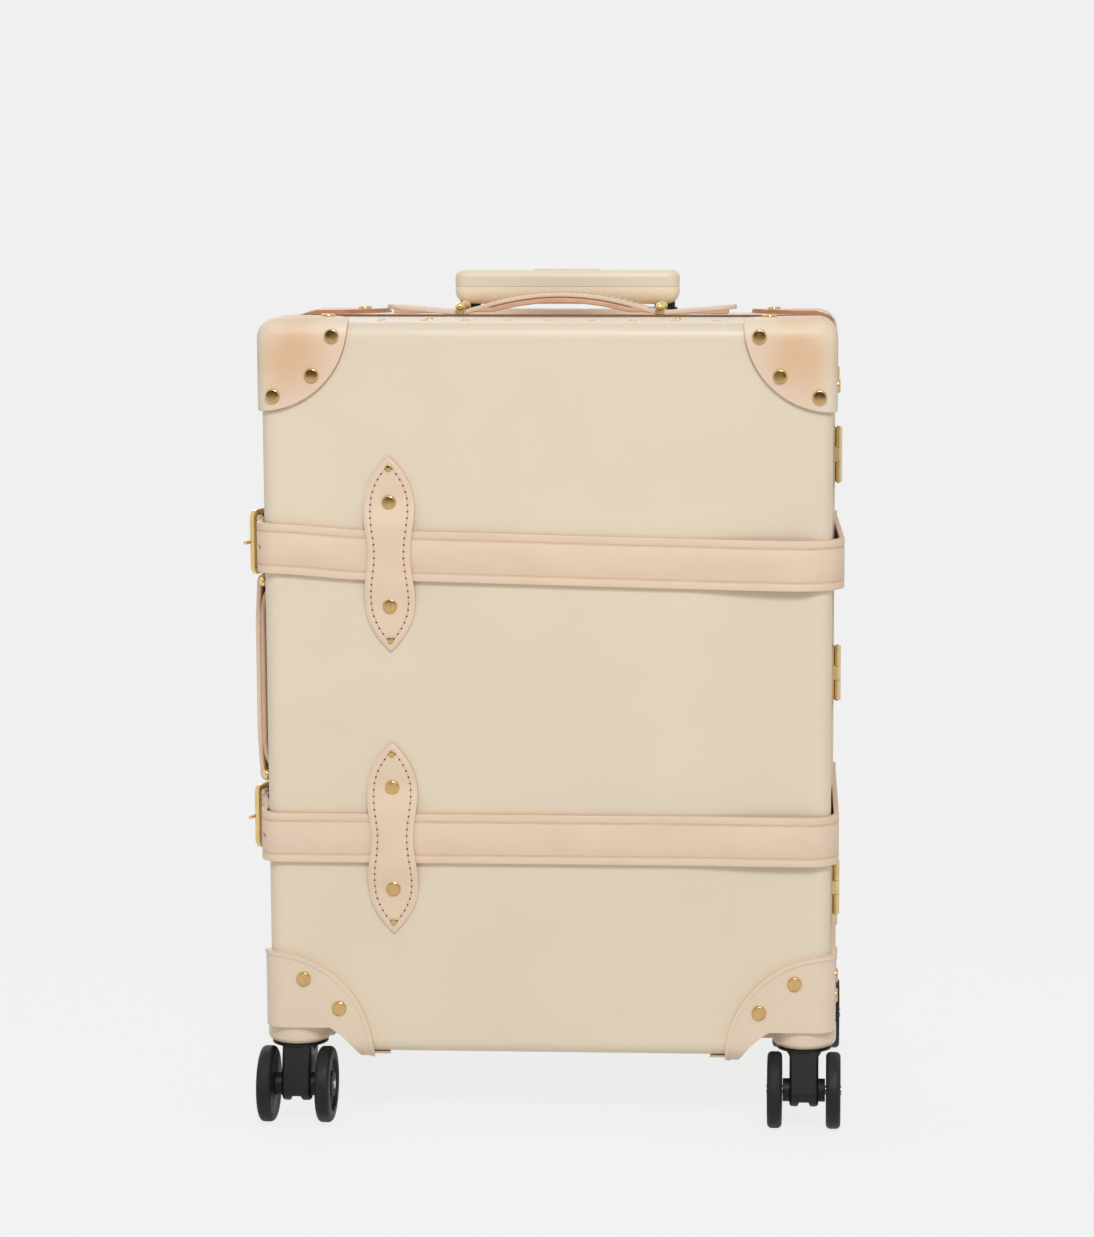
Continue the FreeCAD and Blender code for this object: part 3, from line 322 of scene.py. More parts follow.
def grained(name, base, roughness, noise, tones, relief=None):
    """Material whose tones and relief follow one noise, given as its scale, detail and stretch."""
    finish = Finish(name, base, roughness)
    grain = finish.noise(*noise)
    finish.paint(finish.tones(grain, *tones))
    if relief:
        finish.bump(grain, *relief)
    return finish.material


def leather_edge_finish(name, base, contrast):
    """Burnished cut edge, with the layers' fibres along it; as the edge colour of the caps and patches, its
    darker tone is partly painted shade.
    """
    fibres = (260.0, 3.0, (0.3, 0.3, 1.6))
    return grained(name, base, 0.5, fibres, (1 - contrast, 1 + contrast), (0.1 * MM, 0.6))


def leather_back_finish():
    """Rough flesh side of the straps."""
    return grained("leather_back", colours().leather_back, 0.85, (480.0, 4.0), (0.8, 1.15), (0.2 * MM, 0.8))


def thread_finish():
    return grained("waxed_thread", colours().thread, 0.6, (1500.0, 2.0), (0.85, 1.08), (0.1 * MM, 0.6))


# Painted shade in the holes of the seams
def stitch_hole_finish():
    return grained("stitch_hole", colours().stitch_hole, 0.8, (1800.0, 2.0), (0.8, 1.3))


def brass_finish(name, base, roughness):
    """Polished brass with faint wiping marks."""
    finish = Finish(name, base, roughness, Metallic=1.0)
    cloud = finish.noise(120.0, 3.0)
    wipe = finish.noise(500.0, 2.0, stretch=(1.0, 1.0, 0.15))
    finish.paint(finish.tones(cloud, 0.93, 1.04))
    finish.roughen(wipe, 0.75 * roughness, 1.3 * roughness)
    finish.bump(wipe, 0.01 * MM, 0.4)
    return finish.material


def plastic_finish(name, base):
    """Satin moulded plastic with a very fine spark-etched surface."""
    finish = Finish(name, base, 0.4)
    cloud = finish.noise(16.0, 3.0)
    etch = finish.noise(2200.0, 2.0)
    finish.paint(finish.tones(cloud, 0.975, 1.02))
    finish.roughen(etch, 0.36, 0.46)
    finish.bump(etch, 0.015 * MM, 0.5)
    return finish.material


def black_finish(name, roughness, worn):
    """Black tube, nylon or rubber; worn sets how much grey scuffing shows."""
    finish = Finish(name, colours().black, roughness, Specular_IOR_Level=0.35)
    scuff = finish.noise(90.0, 5.0, distortion=0.8)
    etch = finish.noise(1600.0, 2.0)
    grey = finish.tone(1.0 + worn)
    finish.paint(finish.mix(finish.span(scuff, 0.5, 0.75), finish.tone(0.92), grey))
    finish.roughen(scuff, roughness - 0.08, roughness + 0.1)
    finish.bump(etch, 0.02 * MM, 0.5)
    return finish.material


def lining_finish():
    """Plain woven cotton."""
    finish = Finish("lining_cloth", colours().lining, 0.85)
    warp = finish.weave(260.0, "X")
    weft = finish.weave(260.0, "Z")
    depth = finish.weave(260.0, "Y")
    cloth = finish.math("MULTIPLY", finish.math("MAXIMUM", warp, weft), finish.math("ADD", depth, 0.4))
    finish.paint(finish.mix(finish.span(cloth, 0.2, 1.2), finish.tone(0.78), finish.tone(1.06)))
    finish.bump(cloth, 0.15 * MM, 0.6)
    return finish.material


def wood_finish():
    """Sanded ash rails, grain along their length."""
    finish = Finish("rail_wood", colours().wood, 0.55)
    grain = finish.noise(70.0, 5.0, stretch=(0.25, 1.0, 0.25), distortion=1.2)
    pores = finish.noise(420.0, 3.0, stretch=(0.2, 1.0, 0.2))
    soft = finish.mix(finish.span(grain, 0.35, 0.65), finish.tone(0.8), finish.tone(1.06))
    finish.paint(finish.mix(finish.span(pores, 0.6, 0.8, 0.0, 0.5), soft, finish.tone(0.55)))
    finish.bump(pores, 0.1 * MM, 0.5)
    return finish.material


def binding_finish():
    """Fibre binding along the seam: brown near the case's top, the board's cream colour lower down on its
    sides.
    """
    finish = Finish("binding", colours().binding, 0.55)
    fibre = finish.noise(300.0, 3.0)
    brown = finish.tones(fibre, 0.82, 1.15)
    height = finish.add("ShaderNodeSeparateXYZ", [("Vector", finish.place)]).outputs["Z"]
    finish.paint(finish.mix(finish.span(height, *BROWN_FROM), colours().fibreboard, brown))
    finish.bump(fibre, 0.06 * MM, 0.5)
    return finish.material


def steel_finish():
    finish = Finish("axle_steel", (0.55, 0.55, 0.54), 0.3, Metallic=1.0)
    turning = finish.noise(900.0, 2.0, stretch=(1.0, 0.1, 0.1))
    finish.paint(finish.tones(turning, 0.9, 1.05))
    finish.roughen(turning, 0.25, 0.4)
    return finish.material


# Finishes by name; a modelled part takes the one with the name of its slot, if it isn't listed below
MATERIALS = {}


def make_materials():
    MATERIALS.update(
        fibreboard=fibreboard_finish(),
        leather=leather_finish(),
        cap_leather=cap_finish(),
        # The caps' and patches' edge colour is partly burnished edge and partly painted shade
        leather_edge=leather_edge_finish("leather_edge", colours().leather_edge, 0.12),
        strap_edge=leather_edge_finish("strap_edge", colours().strap_edge, 0.04),
        leather_back=leather_back_finish(),
        handle_leather=handle_finish(),
        handle_edge=leather_edge_finish("handle_edge", colours().handle_edge, 0.1),
        thread=thread_finish(),
        stitch_hole=stitch_hole_finish(),
        brass=brass_finish("brass", colours().brass, 0.2),
        # Lighter copies of the brass for buckles, loops and hinges are painted light; their roughness gives
        # their real polish
        bright_brass=brass_finish("bright_brass", colours().bright_brass, 0.12),
        hinge_brass=brass_finish("hinge_brass", colours().hinge_brass, 0.3),
        moulded_plastic=plastic_finish("moulded_plastic", colours().plastic),
        grip=plastic_finish("grip_plastic", colours().grip),
        # The lower half's lighter plastic is painted light on a half that faces down
        grip_lower=plastic_finish("grip_lower_lit_plastic", colours().grip_lower),
        tube_metal=black_finish("black_tube", 0.35, 0.2),
        fork_plastic=black_finish("black_nylon", 0.48, 0.3),
        wheel_rubber=black_finish("black_rubber", 0.6, 0.5),
        lining_cloth=lining_finish(),
        rail_wood=wood_finish(),
        binding_fibre=binding_finish(),
        axle_steel=steel_finish(),
    )
    MATERIALS["panel_board"] = MATERIALS["lining_cloth"]


# Modelled parts with a finish of their own
SPECIAL_MATERIALS = {
    "buckle_frames": "bright_brass",
    "lower_prong": "bright_brass",
    "upper_prong": "bright_brass",
    "top_handle_loops": "bright_brass",
    "side_handle_loops": "bright_brass",
    "hinge_body_leaves": "hinge_brass",
    "hinge_lid_leaves": "hinge_brass",
    "hinge_pins": "hinge_brass",
    "grip_lower": "grip_lower",
    "grip_upper": "grip",
    "release_button": "grip",
}


# Making pieces

# Distance within which two points count as one
WELD = 0.02 * MM


def as_mesh(name, bm):
    """Make a mesh of a bmesh, which is freed."""
    mesh = bpy.data.meshes.new(name)
    bm.to_mesh(mesh)
    bm.free()
    return mesh


def show(name, data):
    """Put an object with this data into the scene."""
    shown = bpy.data.objects.new(name, data)
    bpy.context.scene.collection.objects.link(shown)
    return shown


def put(name, bm, finishes, sharp=40.0):
    """Turn a closed bmesh into an object with its materials; edges past the sharp angle stay crisp."""
    bmesh.ops.recalc_face_normals(bm, faces=bm.faces)
    mesh = as_mesh(name, bm)
    for finish in finishes:
        mesh.materials.append(MATERIALS[finish])
    mesh.shade_smooth()
    mesh.set_sharp_from_angle(angle=math.radians(sharp))
    piece = show(name, mesh)
    return piece


def apply_modifiers(piece):
    """Make the modifiers part of the mesh."""
    shown = piece.evaluated_get(bpy.context.evaluated_depsgraph_get())
    finished = bpy.data.meshes.new_from_object(shown)
    piece.modifiers.clear()
    plain = piece.data
    piece.data = finished
    bpy.data.meshes.remove(plain)
    finished.name = piece.name


def boolean(piece, bm, operation):
    """Cut or clip a piece with a second shape."""
    bmesh.ops.recalc_face_normals(bm, faces=bm.faces)
    mesh = as_mesh("cutter", bm)
    cutter = show("cutter", mesh)
    modifier = piece.modifiers.new("shape", "BOOLEAN")
    modifier.object = cutter
    modifier.operation = operation
    modifier.solver = "EXACT"
    apply_modifiers(piece)
    bpy.data.objects.remove(cutter)
    bpy.data.meshes.remove(mesh)


def join(bm, other):
    """Add a second bmesh to the first."""
    mesh = as_mesh("part", other)
    bm.from_mesh(mesh)
    bpy.data.meshes.remove(mesh)


def block(bm, place, size):
    """Box with its middle at a place."""
    bmesh.ops.create_cube(bm, size=1.0, matrix=Matrix.Translation(place) @ Matrix.Diagonal((*size, 1)))


def round_edges(bm, edges, radius, segments, material=-1):
    bmesh.ops.bevel(bm, geom=edges, offset=radius, affect="EDGES", segments=segments, profile=0.5,
                    material=material)


def vertices(geometry):
    return [item for item in geometry if isinstance(item, bmesh.types.BMVert)]


def mirror(bm, axes):
    """Turn a shape into its mirror image; the axis to turn is -1."""
    bmesh.ops.scale(bm, vec=axes, verts=bm.verts)
    bmesh.ops.reverse_faces(bm, faces=bm.faces)


def tip_width(past, power, least):
    """Share of the full width in a rounded tip; past is 0 where the tip starts and 1 at its end."""
    return max(least, math.sqrt(max(0.0, 1 - past ** power)))


def ease(value):
    """Smooth rise from 0 to 1."""
    value = min(1.0, max(0.0, value))
    return value * value * (3 - 2 * value)


def path_frames(corners, turns, step, across, flip=1.0):
    """Frames along a path with rounded corners: x ahead, y across, z outward. Turns are the corner radii."""
    points = [Vector(corner) for corner in corners]
    across = Vector(across)
    frames = []

    def add(point, ahead):
        matrix = Matrix((ahead, across, ahead.cross(across) * flip)).transposed().to_4x4()
        matrix.translation = point
        frames.append(matrix)

    def straight(start, end, ahead):
        count = math.ceil(round((end - start).length / step, 3))
        for index in range(count):
            add(start.lerp(end, index / count), ahead)

    here = points[0]
    for before, corner, after, radius in zip(points, points[1:], points[2:], turns):
        ahead = (corner - before).normalized()
        leaving = (after - corner).normalized()
        angle = ahead.angle(leaving)
        cut = radius * math.tan(angle / 2)
        begin = corner - ahead * cut
        straight(here, begin, ahead)
        axis = ahead.cross(leaving).normalized()
        centre = begin + axis.cross(ahead) * radius
        count = max(2, math.ceil(angle * radius / step), math.ceil(math.degrees(angle) / 10))
        for index in range(count):
            turn = Matrix.Rotation(angle * index / count, 3, axis)
            add(centre + turn @ (begin - centre), turn @ ahead)
        here = corner + leaving * cut
    last = (points[-1] - points[-2]).normalized()
    straight(here, points[-1], last)
    add(points[-1], last)
    return frames


def sweep(bm, profile, frames, widths=None, closed=False):
    """Extrude a closed profile of (across, outward) points through the frames; returns the new vertices.

    Each vertex keeps its place on the profile in the attributes across and outward.
    """
    keep_across = bm.verts.layers.float.get("across") or bm.verts.layers.float.new("across")
    keep_outward = bm.verts.layers.float.get("outward") or bm.verts.layers.float.new("outward")
    widths = widths or [1.0] * len(frames)
    ring = [bm.verts.new(frames[0] @ Vector((0, across * widths[0], out))) for across, out in profile]
    for vert, (across, out) in zip(ring, profile):
        vert[keep_across] = across
        vert[keep_outward] = out
    edges = [bm.edges.new(pair) for pair in zip(ring, ring[1:] + ring[:1])]
    first = edges
    made = list(ring)
    for index in range(1, len(frames)):
        geometry = bmesh.ops.extrude_edge_only(bm, edges=edges)["geom"]
        ring = vertices(geometry)
        fresh = set(ring)
        edges = [item for item in geometry
                 if isinstance(item, bmesh.types.BMEdge) and fresh.issuperset(item.verts)]
        spread = widths[index] / widths[index - 1]
        bmesh.ops.transform(bm, matrix=frames[index] @ frames[index - 1].inverted(), verts=ring)
        bmesh.ops.scale(bm, vec=(1, spread, 1), space=frames[index].inverted(), verts=ring)
        made += ring
    if closed:
        ends = [vert for edge in first + edges for vert in edge.verts]
        bmesh.ops.remove_doubles(bm, verts=list(set(ends)), dist=0.01 * MM)
        return [vert for vert in made if vert.is_valid]
    for edge_ring in (first, edges):
        bmesh.ops.contextual_create(bm, geom=edge_ring)
    return made


# Cross-section of the leather strips
EDGE_ROUND = 0.9 * MM
BACK_ROUND = 0.5 * MM
CREASE_HALF = 0.8 * MM
CREASE_FLOOR = 0.3 * MM
CREASE_DEPTH = 0.3 * MM
# Slack when a face is sorted by its place on that section
SORT_SLACK = 0.1 * MM


def strap_profile(width, thick, crease=None):
    """Cross-section of a strap with eased edges and, on its face, a crease along each side."""
    half = width / 2
    out = thick / 2
    side = [(0.0, out)]
    if crease:
        middle = half - crease
        low = out - CREASE_DEPTH
        side += [(middle - CREASE_HALF, out), (middle - CREASE_FLOOR, low)]
        side += [(middle + CREASE_FLOOR, low), (middle + CREASE_HALF, out)]
    bevel = 0.25 * EDGE_ROUND
    side += [(half - EDGE_ROUND, out), (half - bevel, out - bevel), (half, out - EDGE_ROUND)]
    side += [(half, BACK_ROUND - out), (half - BACK_ROUND, -out)]
    return side + [(-across, away) for across, away in reversed(side[1:])]


def paint_strap(bm, width, thick):
    """Material 0 on the face, 1 on the cut edges and in the creases, 2 on the back."""
    keep_across = bm.verts.layers.float["across"]
    keep_outward = bm.verts.layers.float["outward"]
    back = SORT_SLACK - thick / 2
    crease = thick / 2 - CREASE_DEPTH + SORT_SLACK
    for face in bm.faces:
        across = [abs(vert[keep_across]) for vert in face.verts]
        outward = [vert[keep_outward] for vert in face.verts]
        on_edge = min(across) > width / 2 - EDGE_ROUND / 3 or min(outward) < back + BACK_ROUND
        in_crease = min(outward) < crease and max(across) < width / 2 - 2 * EDGE_ROUND
        if max(outward) < back:
            face.material_index = 2
        elif on_edge or in_crease:
            face.material_index = 1


def capsule_matrix(place, along, outward, long, wide, deep):
    """Stretch and turn of a small round shape that lies on a surface."""
    side = outward.cross(along)
    turn = Matrix((along, side, outward)).transposed().to_4x4()
    return Matrix.Translation(place) @ turn @ Matrix.Diagonal((long, wide, deep, 1))


# Stitches: half sizes of the thread across and out of the leather, the same of a hole's dark mark of painted
# shade, and the gap between
THREAD_HALF = (0.42 * MM, 0.34 * MM)
STITCH_HOLE = (0.8 * MM, 0.3 * MM)
STITCH_GAP = 0.5 * MM


def stitch(bm, line, pitch, outward_shift=0.0):
    """Stitches along a line of (place, outward) points: thread is material 0, the holes between are 1, dark
    marks of painted shade.
    """
    lengths = [0.0]
    for (start, _), (end, _) in zip(line, line[1:]):
        lengths.append(lengths[-1] + (end - start).length)
    count = max(1, round(lengths[-1] / pitch))
    spots = []
    index = 0
    for number in range(count + 1):
        goal = lengths[-1] * number / count
        while index < len(line) - 2 and lengths[index + 1] < goal:
            index += 1
        part = (goal - lengths[index]) / max(1e-9, lengths[index + 1] - lengths[index])
        place = line[index][0].lerp(line[index + 1][0], part)
        outward = line[index][1].lerp(line[index + 1][1], part).normalized()
        spots.append((place + outward * outward_shift, outward))
    for place, outward in spots:
        along = outward.orthogonal().normalized()
        wide, deep = STITCH_HOLE
        matrix = capsule_matrix(place, along, outward, wide, wide, deep)
        made = bmesh.ops.create_icosphere(bm, subdivisions=1, radius=1.0, matrix=matrix)["verts"]
        for face in {face for vert in made for face in vert.link_faces}:
            face.material_index = 1
    for (start, first), (end, second) in zip(spots, spots[1:]):
        outward = (first + second).normalized()
        along = (end - start).normalized()
        outward = (outward - along * outward.dot(along)).normalized()
        half_length = (end - start).length / 2 - STITCH_GAP
        matrix = capsule_matrix((start + end) / 2, along, outward, half_length, *THREAD_HALF)
        bmesh.ops.create_uvsphere(bm, u_segments=8, v_segments=5, radius=1.0, matrix=matrix)


# Straps

STRAP_WIDTH = 32.0 * MM
STRAP_THICK = 3.5 * MM
STRAP_FINISHES = ("leather", "strap_edge", "leather_back")
STRAP_LOW, STRAP_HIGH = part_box("front_straps")
STRAP_HEIGHTS = (STRAP_LOW.z + STRAP_WIDTH / 2, STRAP_HIGH.z - STRAP_WIDTH / 2)
# How the lower and the upper strap hang: sag at the hinges, rise at the left corner, distance that they
# stand off the right side and the front, and curve round the right front corner
STRAP_SAG = (0.0, 6.0 * MM)
STRAP_LIFT = (0.0, 3.5 * MM)
STRAP_BOW = (1.9 * MM, 4.9 * MM)
STRAP_GAP = (2.5 * MM, 3.5 * MM)
WIDE_CORNERS = (18.0 * MM, 26.0 * MM)
# Where that starts and ends
LIFT_LENGTH = 70.0 * MM
LIFT_BEHIND = 10.0 * MM
LIFT_FADE = 45.0 * MM
GAP_START = 85.0 * MM
BOW_START = 150.0 * MM
BOW_END = 66.0 * MM
# Middle line of a strap seen from above, in millimetres
SIDE_RUN = 181.75
FACE_RUN = 105.75
LEFT_RUN = -183.2
TONGUE_START = -94.0
BEND_END = 30.0
SEAM_SIDE = BEND_END * MM
# Radii of its turns, and length of the tongue's rounded tip
STRAP_CORNER = 11.75 * MM
EASY_TURN = 14.0 * MM
HEEL_TURN = 3.8 * MM
TONGUE_TIP = 14.0 * MM
# Spare holes: radius, place and turn of the one at the left corner, and places along a tongue
SPARE_HOLE = 2.0 * MM
CORNER_HOLE = (-181.0 * MM, -101.0 * MM)
CORNER_HOLE_TURN = math.radians(-62)
TONGUE_HOLES = (-56.0 * MM, -78.0 * MM)
# Slots for the prong: middle and size, in the rear strap's end and in the tongue
HEEL_SLOT = (-191.0 * MM, -8.5 * MM)
HEEL_SLOT_SIZE = (20.0 * MM, 12.0 * MM, 8.4 * MM)
TONGUE_SLOT = (-194.0 * MM, -15.0 * MM)
TONGUE_SLOT_SIZE = (30.0 * MM, 26.0 * MM, 5.0 * MM)


def at(points, z):
    """Level points in millimetres as places at a height."""
    return [(x * MM, y * MM, z) for x, y in points]


def hang(verts, sag, lift, bow, gap):
    """Let a strap sag towards the hinges, rise at the left front corner and stand off the right one."""
    for vert in verts:
        right = ease((vert.co.x - BOW_START) / (SIDE - BOW_START))
        leaving = ease((vert.co.x - GAP_START) / (BOW_START - GAP_START))
        forward = max(0.0, (BOW_END - vert.co.y) / (BOW_END + FACE))
        vert.co.z -= sag * ease((vert.co.x + SIDE) / (2 * SIDE))
        along = ease((vert.co.x + SIDE) / LIFT_LENGTH)
        behind = ease((vert.co.y + FACE - LIFT_BEHIND) / LIFT_FADE)
        vert.co.z += lift * (1 - along) * (1 - behind)
        vert.co.x += bow * right * forward
        vert.co.y -= gap * leaving * min(1.0, forward)


def strap_pieces(name, corners, turns, step, flip=1.0, widths=None):
    """One run of each strap; turns holds the corner radii of the lower strap and those of the upper one."""
    profile = strap_profile(STRAP_WIDTH, STRAP_THICK, sizes().crease_inset)
    bm = bmesh.new()
    for index, height in enumerate(STRAP_HEIGHTS):
        frames = path_frames(at(corners, height), turns[index], step, Z_AXIS, flip)
        made = sweep(bm, profile, frames, widths(frames) if widths else None)
        hang(made, STRAP_SAG[index], STRAP_LIFT[index], STRAP_BOW[index], STRAP_GAP[index])
    paint_strap(bm, STRAP_WIDTH, STRAP_THICK)
    return put(name, bm, STRAP_FINISHES)


def punch(bm, place, turn, depth):
    """Round cutter for a spare hole."""
    bmesh.ops.create_cone(bm, cap_ends=True, segments=20, radius1=SPARE_HOLE, radius2=SPARE_HOLE, depth=depth,
                          matrix=Matrix.Translation(place) @ turn)


def front_straps():
    """Front runs; a spare hole lies on the left corner, and the right end bows out over the hinges."""
    corners = [(LEFT_RUN, TONGUE_START), (LEFT_RUN, -FACE_RUN), (SIDE_RUN, -FACE_RUN), (SIDE_RUN, -BEND_END)]
    piece = strap_pieces("front_straps", corners, [(STRAP_CORNER, wide) for wide in WIDE_CORNERS], 5 * MM)
    holes = bmesh.new()
    for height, lift in zip(STRAP_HEIGHTS, STRAP_LIFT):
        turn = Matrix.Rotation(CORNER_HOLE_TURN, 4, "Z") @ Matrix.Rotation(math.pi / 2, 4, "X")
        punch(holes, (*CORNER_HOLE, height + lift), turn, 12 * MM)
    boolean(piece, holes, "DIFFERENCE")
    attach(piece, "lid")
    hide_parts("front_straps")


def strap_bends():
    """The slack over the hinges, which bends when the lid opens."""
    piece = strap_pieces("strap_bends", [(SIDE_RUN, -BEND_END), (SIDE_RUN, BEND_END)], [()] * 2, 2.5 * MM)
    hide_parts("strap_bends")
    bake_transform(piece, "body", "lid", start=(SIDE, SEAM_SIDE, 0.28), end=(SIDE, -SEAM_SIDE, 0.28))


def rear_straps():
    """Rear runs; at the left they close round the buckle's heel bar, slotted for the prong."""
    around = [(SIDE_RUN, BEND_END), (SIDE_RUN, FACE_RUN), (-SIDE_RUN, FACE_RUN), (-SIDE_RUN, 87)]
    forward = [(-184.45, 62), (-184.45, 34), (-186.2, 6), (-186.2, -11.8)]
    corners = around + forward + [(-193.8, -11.8), (-193.8, -4.2), (-190, -4.2)]
    turns = [STRAP_CORNER] * 2 + [EASY_TURN] * 4 + [HEEL_TURN] * 3
    piece = strap_pieces("rear_straps", corners, [turns] * 2, 5 * MM)
    slots = bmesh.new()
    for height in STRAP_HEIGHTS:
        block(slots, (*HEEL_SLOT, height), HEEL_SLOT_SIZE)
    boolean(piece, slots, "DIFFERENCE")
    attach(piece, "body")
    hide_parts("rear_straps")


def tongue_widths(frames):
    """Full width, then a rounded tip."""
    end = frames[-1].translation.y
    inside = [max(0.0, frame_at.translation.y - end + TONGUE_TIP) for frame_at in frames]
    return [tip_width(reached / TONGUE_TIP, 2.4, 0.12) for reached in inside]


def strap_tongues():
    """Tongues through the buckles, with a slot that lets the prong swing and two spare holes."""
    to_buckle = [(LEFT_RUN, TONGUE_START), (LEFT_RUN, -79.7), (-191.7, -45), (-191.7, -34.5)]
    corners = to_buckle + [(-198.3, -11.5), (-198.3, -4.5), (-188.85, 29.33), (-188.85, 62)]
    piece = strap_pieces("strap_tongues", corners, [[EASY_TURN] * 6] * 2, 1.2 * MM, -1.0, tongue_widths)
    cutter = bmesh.new()
    for height in STRAP_HEIGHTS:
        block(cutter, (*TONGUE_SLOT, height), TONGUE_SLOT_SIZE)
        for y in TONGUE_HOLES:
            punch(cutter, (-188 * MM, y, height), Matrix.Rotation(math.pi / 2, 4, "Y"), 30 * MM)
    boolean(piece, cutter, "DIFFERENCE")
    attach(piece, "lid")
    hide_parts("strap_tongues")


def strap_keepers():
    """Loops that hold the tongue's tip to the rear strap."""
    width, wall = 10 * MM, 1.8 * MM
    profile = strap_profile(width, wall)
    bm = bmesh.new()
    inner, outer, half = -181.5 * MM, -191.8 * MM, 17.3 * MM
    y = 39 * MM
    for height in STRAP_HEIGHTS:
        middle = (inner + outer) / 2
        loop = [(middle, y, height - half), (inner, y, height - half), (inner, y, height + half),
                (outer, y, height + half), (outer, y, height - half), (middle, y, height - half)]
        sweep(bm, profile, path_frames(loop, [3 * MM] * 4, 3 * MM, Y_AXIS, -1.0), closed=True)
    paint_strap(bm, width, wall)
    piece = put("strap_keepers", bm, STRAP_FINISHES)
    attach(piece, "body")
    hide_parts("strap_keepers")


class SUITCASE_OT_straps(bpy.types.Operator):
    """Leather straps round the case, with tongues and keepers"""
    bl_idname = "suitcase.straps"
    bl_label = "Straps"

    def execute(self, context):
        front_straps()
        strap_bends()
        rear_straps()
        strap_tongues()
        strap_keepers()
        return {"FINISHED"}


# Keeper patches

PATCH_PLACE = -99.0 * MM
PATCH_HALF = 62.0 * MM
PATCH_LOBE = 16.1 * MM
PATCH_LOBE_HEIGHT = 28.0 * MM
PATCH_WAIST = 13.5 * MM
PATCH_THICK = 2.0 * MM
PATCH_GRID = (44, 124)
# Over the strap: rise of the leather, half height that stays up, and height over which it comes down
PATCH_RISE = 3.8 * MM
PATCH_UP = 15.0 * MM
PATCH_DOWN = 22.0 * MM
# Edge: thickness and rounding; seam: depth, half width, and half height in whole millimetres
PATCH_EDGE = 1.3 * MM
PATCH_ROUND = 2.0 * MM
SEAM_DEPTH = 0.4 * MM
SEAM_HALF = 0.9 * MM
SEAM_END = 54
PIN_PLACE = 54.5 * MM
PIN_HEIGHT = 1.3 * MM


def patch_half_width(z):
    """Hourglass outline with pointed tips."""
    z = abs(z)
    if z < PATCH_LOBE_HEIGHT:
        return PATCH_WAIST + (PATCH_LOBE - PATCH_WAIST) * (1 - math.cos(math.pi * z / PATCH_LOBE_HEIGHT)) / 2
    toward_tip = (z - PATCH_LOBE_HEIGHT) / (PATCH_HALF - PATCH_LOBE_HEIGHT)
    return PATCH_LOBE * max(0.0, 1 - toward_tip ** 2.28)


def patch_lean(z):
    """Cosine of the outline's lean, which turns a width into a distance from the edge."""
    step = 0.2 * MM
    slope = (patch_half_width(z + step) - patch_half_width(z - step)) / (2 * step)
    return 1 / math.sqrt(1 + slope * slope)


def patch_rise(z):
    """Height of the leather's back where it passes over the strap."""
    return PATCH_RISE * (1 - ease((abs(z) - PATCH_UP) / PATCH_DOWN))


def patch_thickness(inset):
    """Leather with a rounded edge and a sunk seam line."""
    seam = abs(inset - sizes().stitch_inset)
    rounded = PATCH_EDGE + (PATCH_THICK - PATCH_EDGE) * ease(inset / PATCH_ROUND)
    return rounded - SEAM_DEPTH * (1 - ease(seam / SEAM_HALF))


def patch(bm, height):
    """One patch on the front face, from a grid laid on its outline."""
    columns, rows = PATCH_GRID
    grid = bmesh.ops.create_grid(bm, x_segments=columns, y_segments=rows, size=1.0)["verts"]
    for vert in grid:
        across, z = vert.co.x, vert.co.y * PATCH_HALF
        vert.co = (PATCH_PLACE + across * patch_half_width(z), -FACE - patch_rise(z), height + z)
    faces = list({face for vert in grid for face in vert.link_faces})
    geometry = bmesh.ops.extrude_face_region(bm, geom=faces, use_keep_orig=True)["geom"]
    for vert in vertices(geometry):
        z = vert.co.z - height
        inset = (patch_half_width(z) - abs(vert.co.x - PATCH_PLACE)) * patch_lean(z)
        vert.co.y -= patch_thickness(inset)
    # The edge faces take the darker edge colour, partly burnished edge and partly painted shade
    for face in bm.faces:
        if abs(face.normal.y) < 0.3:
            face.material_index = 1
    bmesh.ops.remove_doubles(bm, verts=[vert for vert in bm.verts if vert.is_valid], dist=WELD)


def patch_seam(height):
    """The two sides of the seam, as lines of places with their outward direction."""
    inset = sizes().stitch_inset
    outward = Vector((0, -1, 0))
    for hand in (-1, 1):
        line = []
        for step in range(-SEAM_END, SEAM_END + 1):
            z = step * MM
            across = patch_half_width(z) - inset / patch_lean(z)
            if across > 0.5 * MM:
                y = -FACE - patch_rise(z) - patch_thickness(inset)
                line.append((Vector((PATCH_PLACE + hand * across, y, height + z)), outward))
        yield line


def patches(side_name, body):
    """The two patches of one half, with their seams and pins."""
    bm = bmesh.new()
    seams = bmesh.new()
    pins = bmesh.new()
    for height in STRAP_HEIGHTS:
        part = bmesh.new()
        patch(part, height)
        join(bm, part)
        for line in patch_seam(height):
            stitch(seams, line, sizes().stitch_pitch, 0.12 * MM)
        for hand in (-1, 1):
            place = Vector((PATCH_PLACE, -FACE - PATCH_THICK, height + hand * PIN_PLACE))
            rivet(pins, place, Vector((0, -1, 0)), sizes().pin_radius, PIN_HEIGHT, SMALL_SEGMENTS)
    if body == "body":
        for part in (bm, seams, pins):
            mirror(part, TO_BACK)
    leather = put(side_name + "_patches", bm, ("leather", "leather_edge"))
    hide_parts(side_name + "_patches")
    thread = put(side_name + "_patch_stitching", seams, ("thread", "stitch_hole"))
    brass = put(side_name + "_patch_pins", pins, ("brass",))
    for piece in (leather, thread, brass):
        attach(piece, body)


class SUITCASE_OT_patches(bpy.types.Operator):
    """Hourglass keeper patches over the straps, stitched and pinned"""
    bl_idname = "suitcase.patches"
    bl_label = "Keeper patches"

    def execute(self, context):
        for side_name, body in HALVES:
            patches(side_name, body)
        return {"FINISHED"}


# Rivets

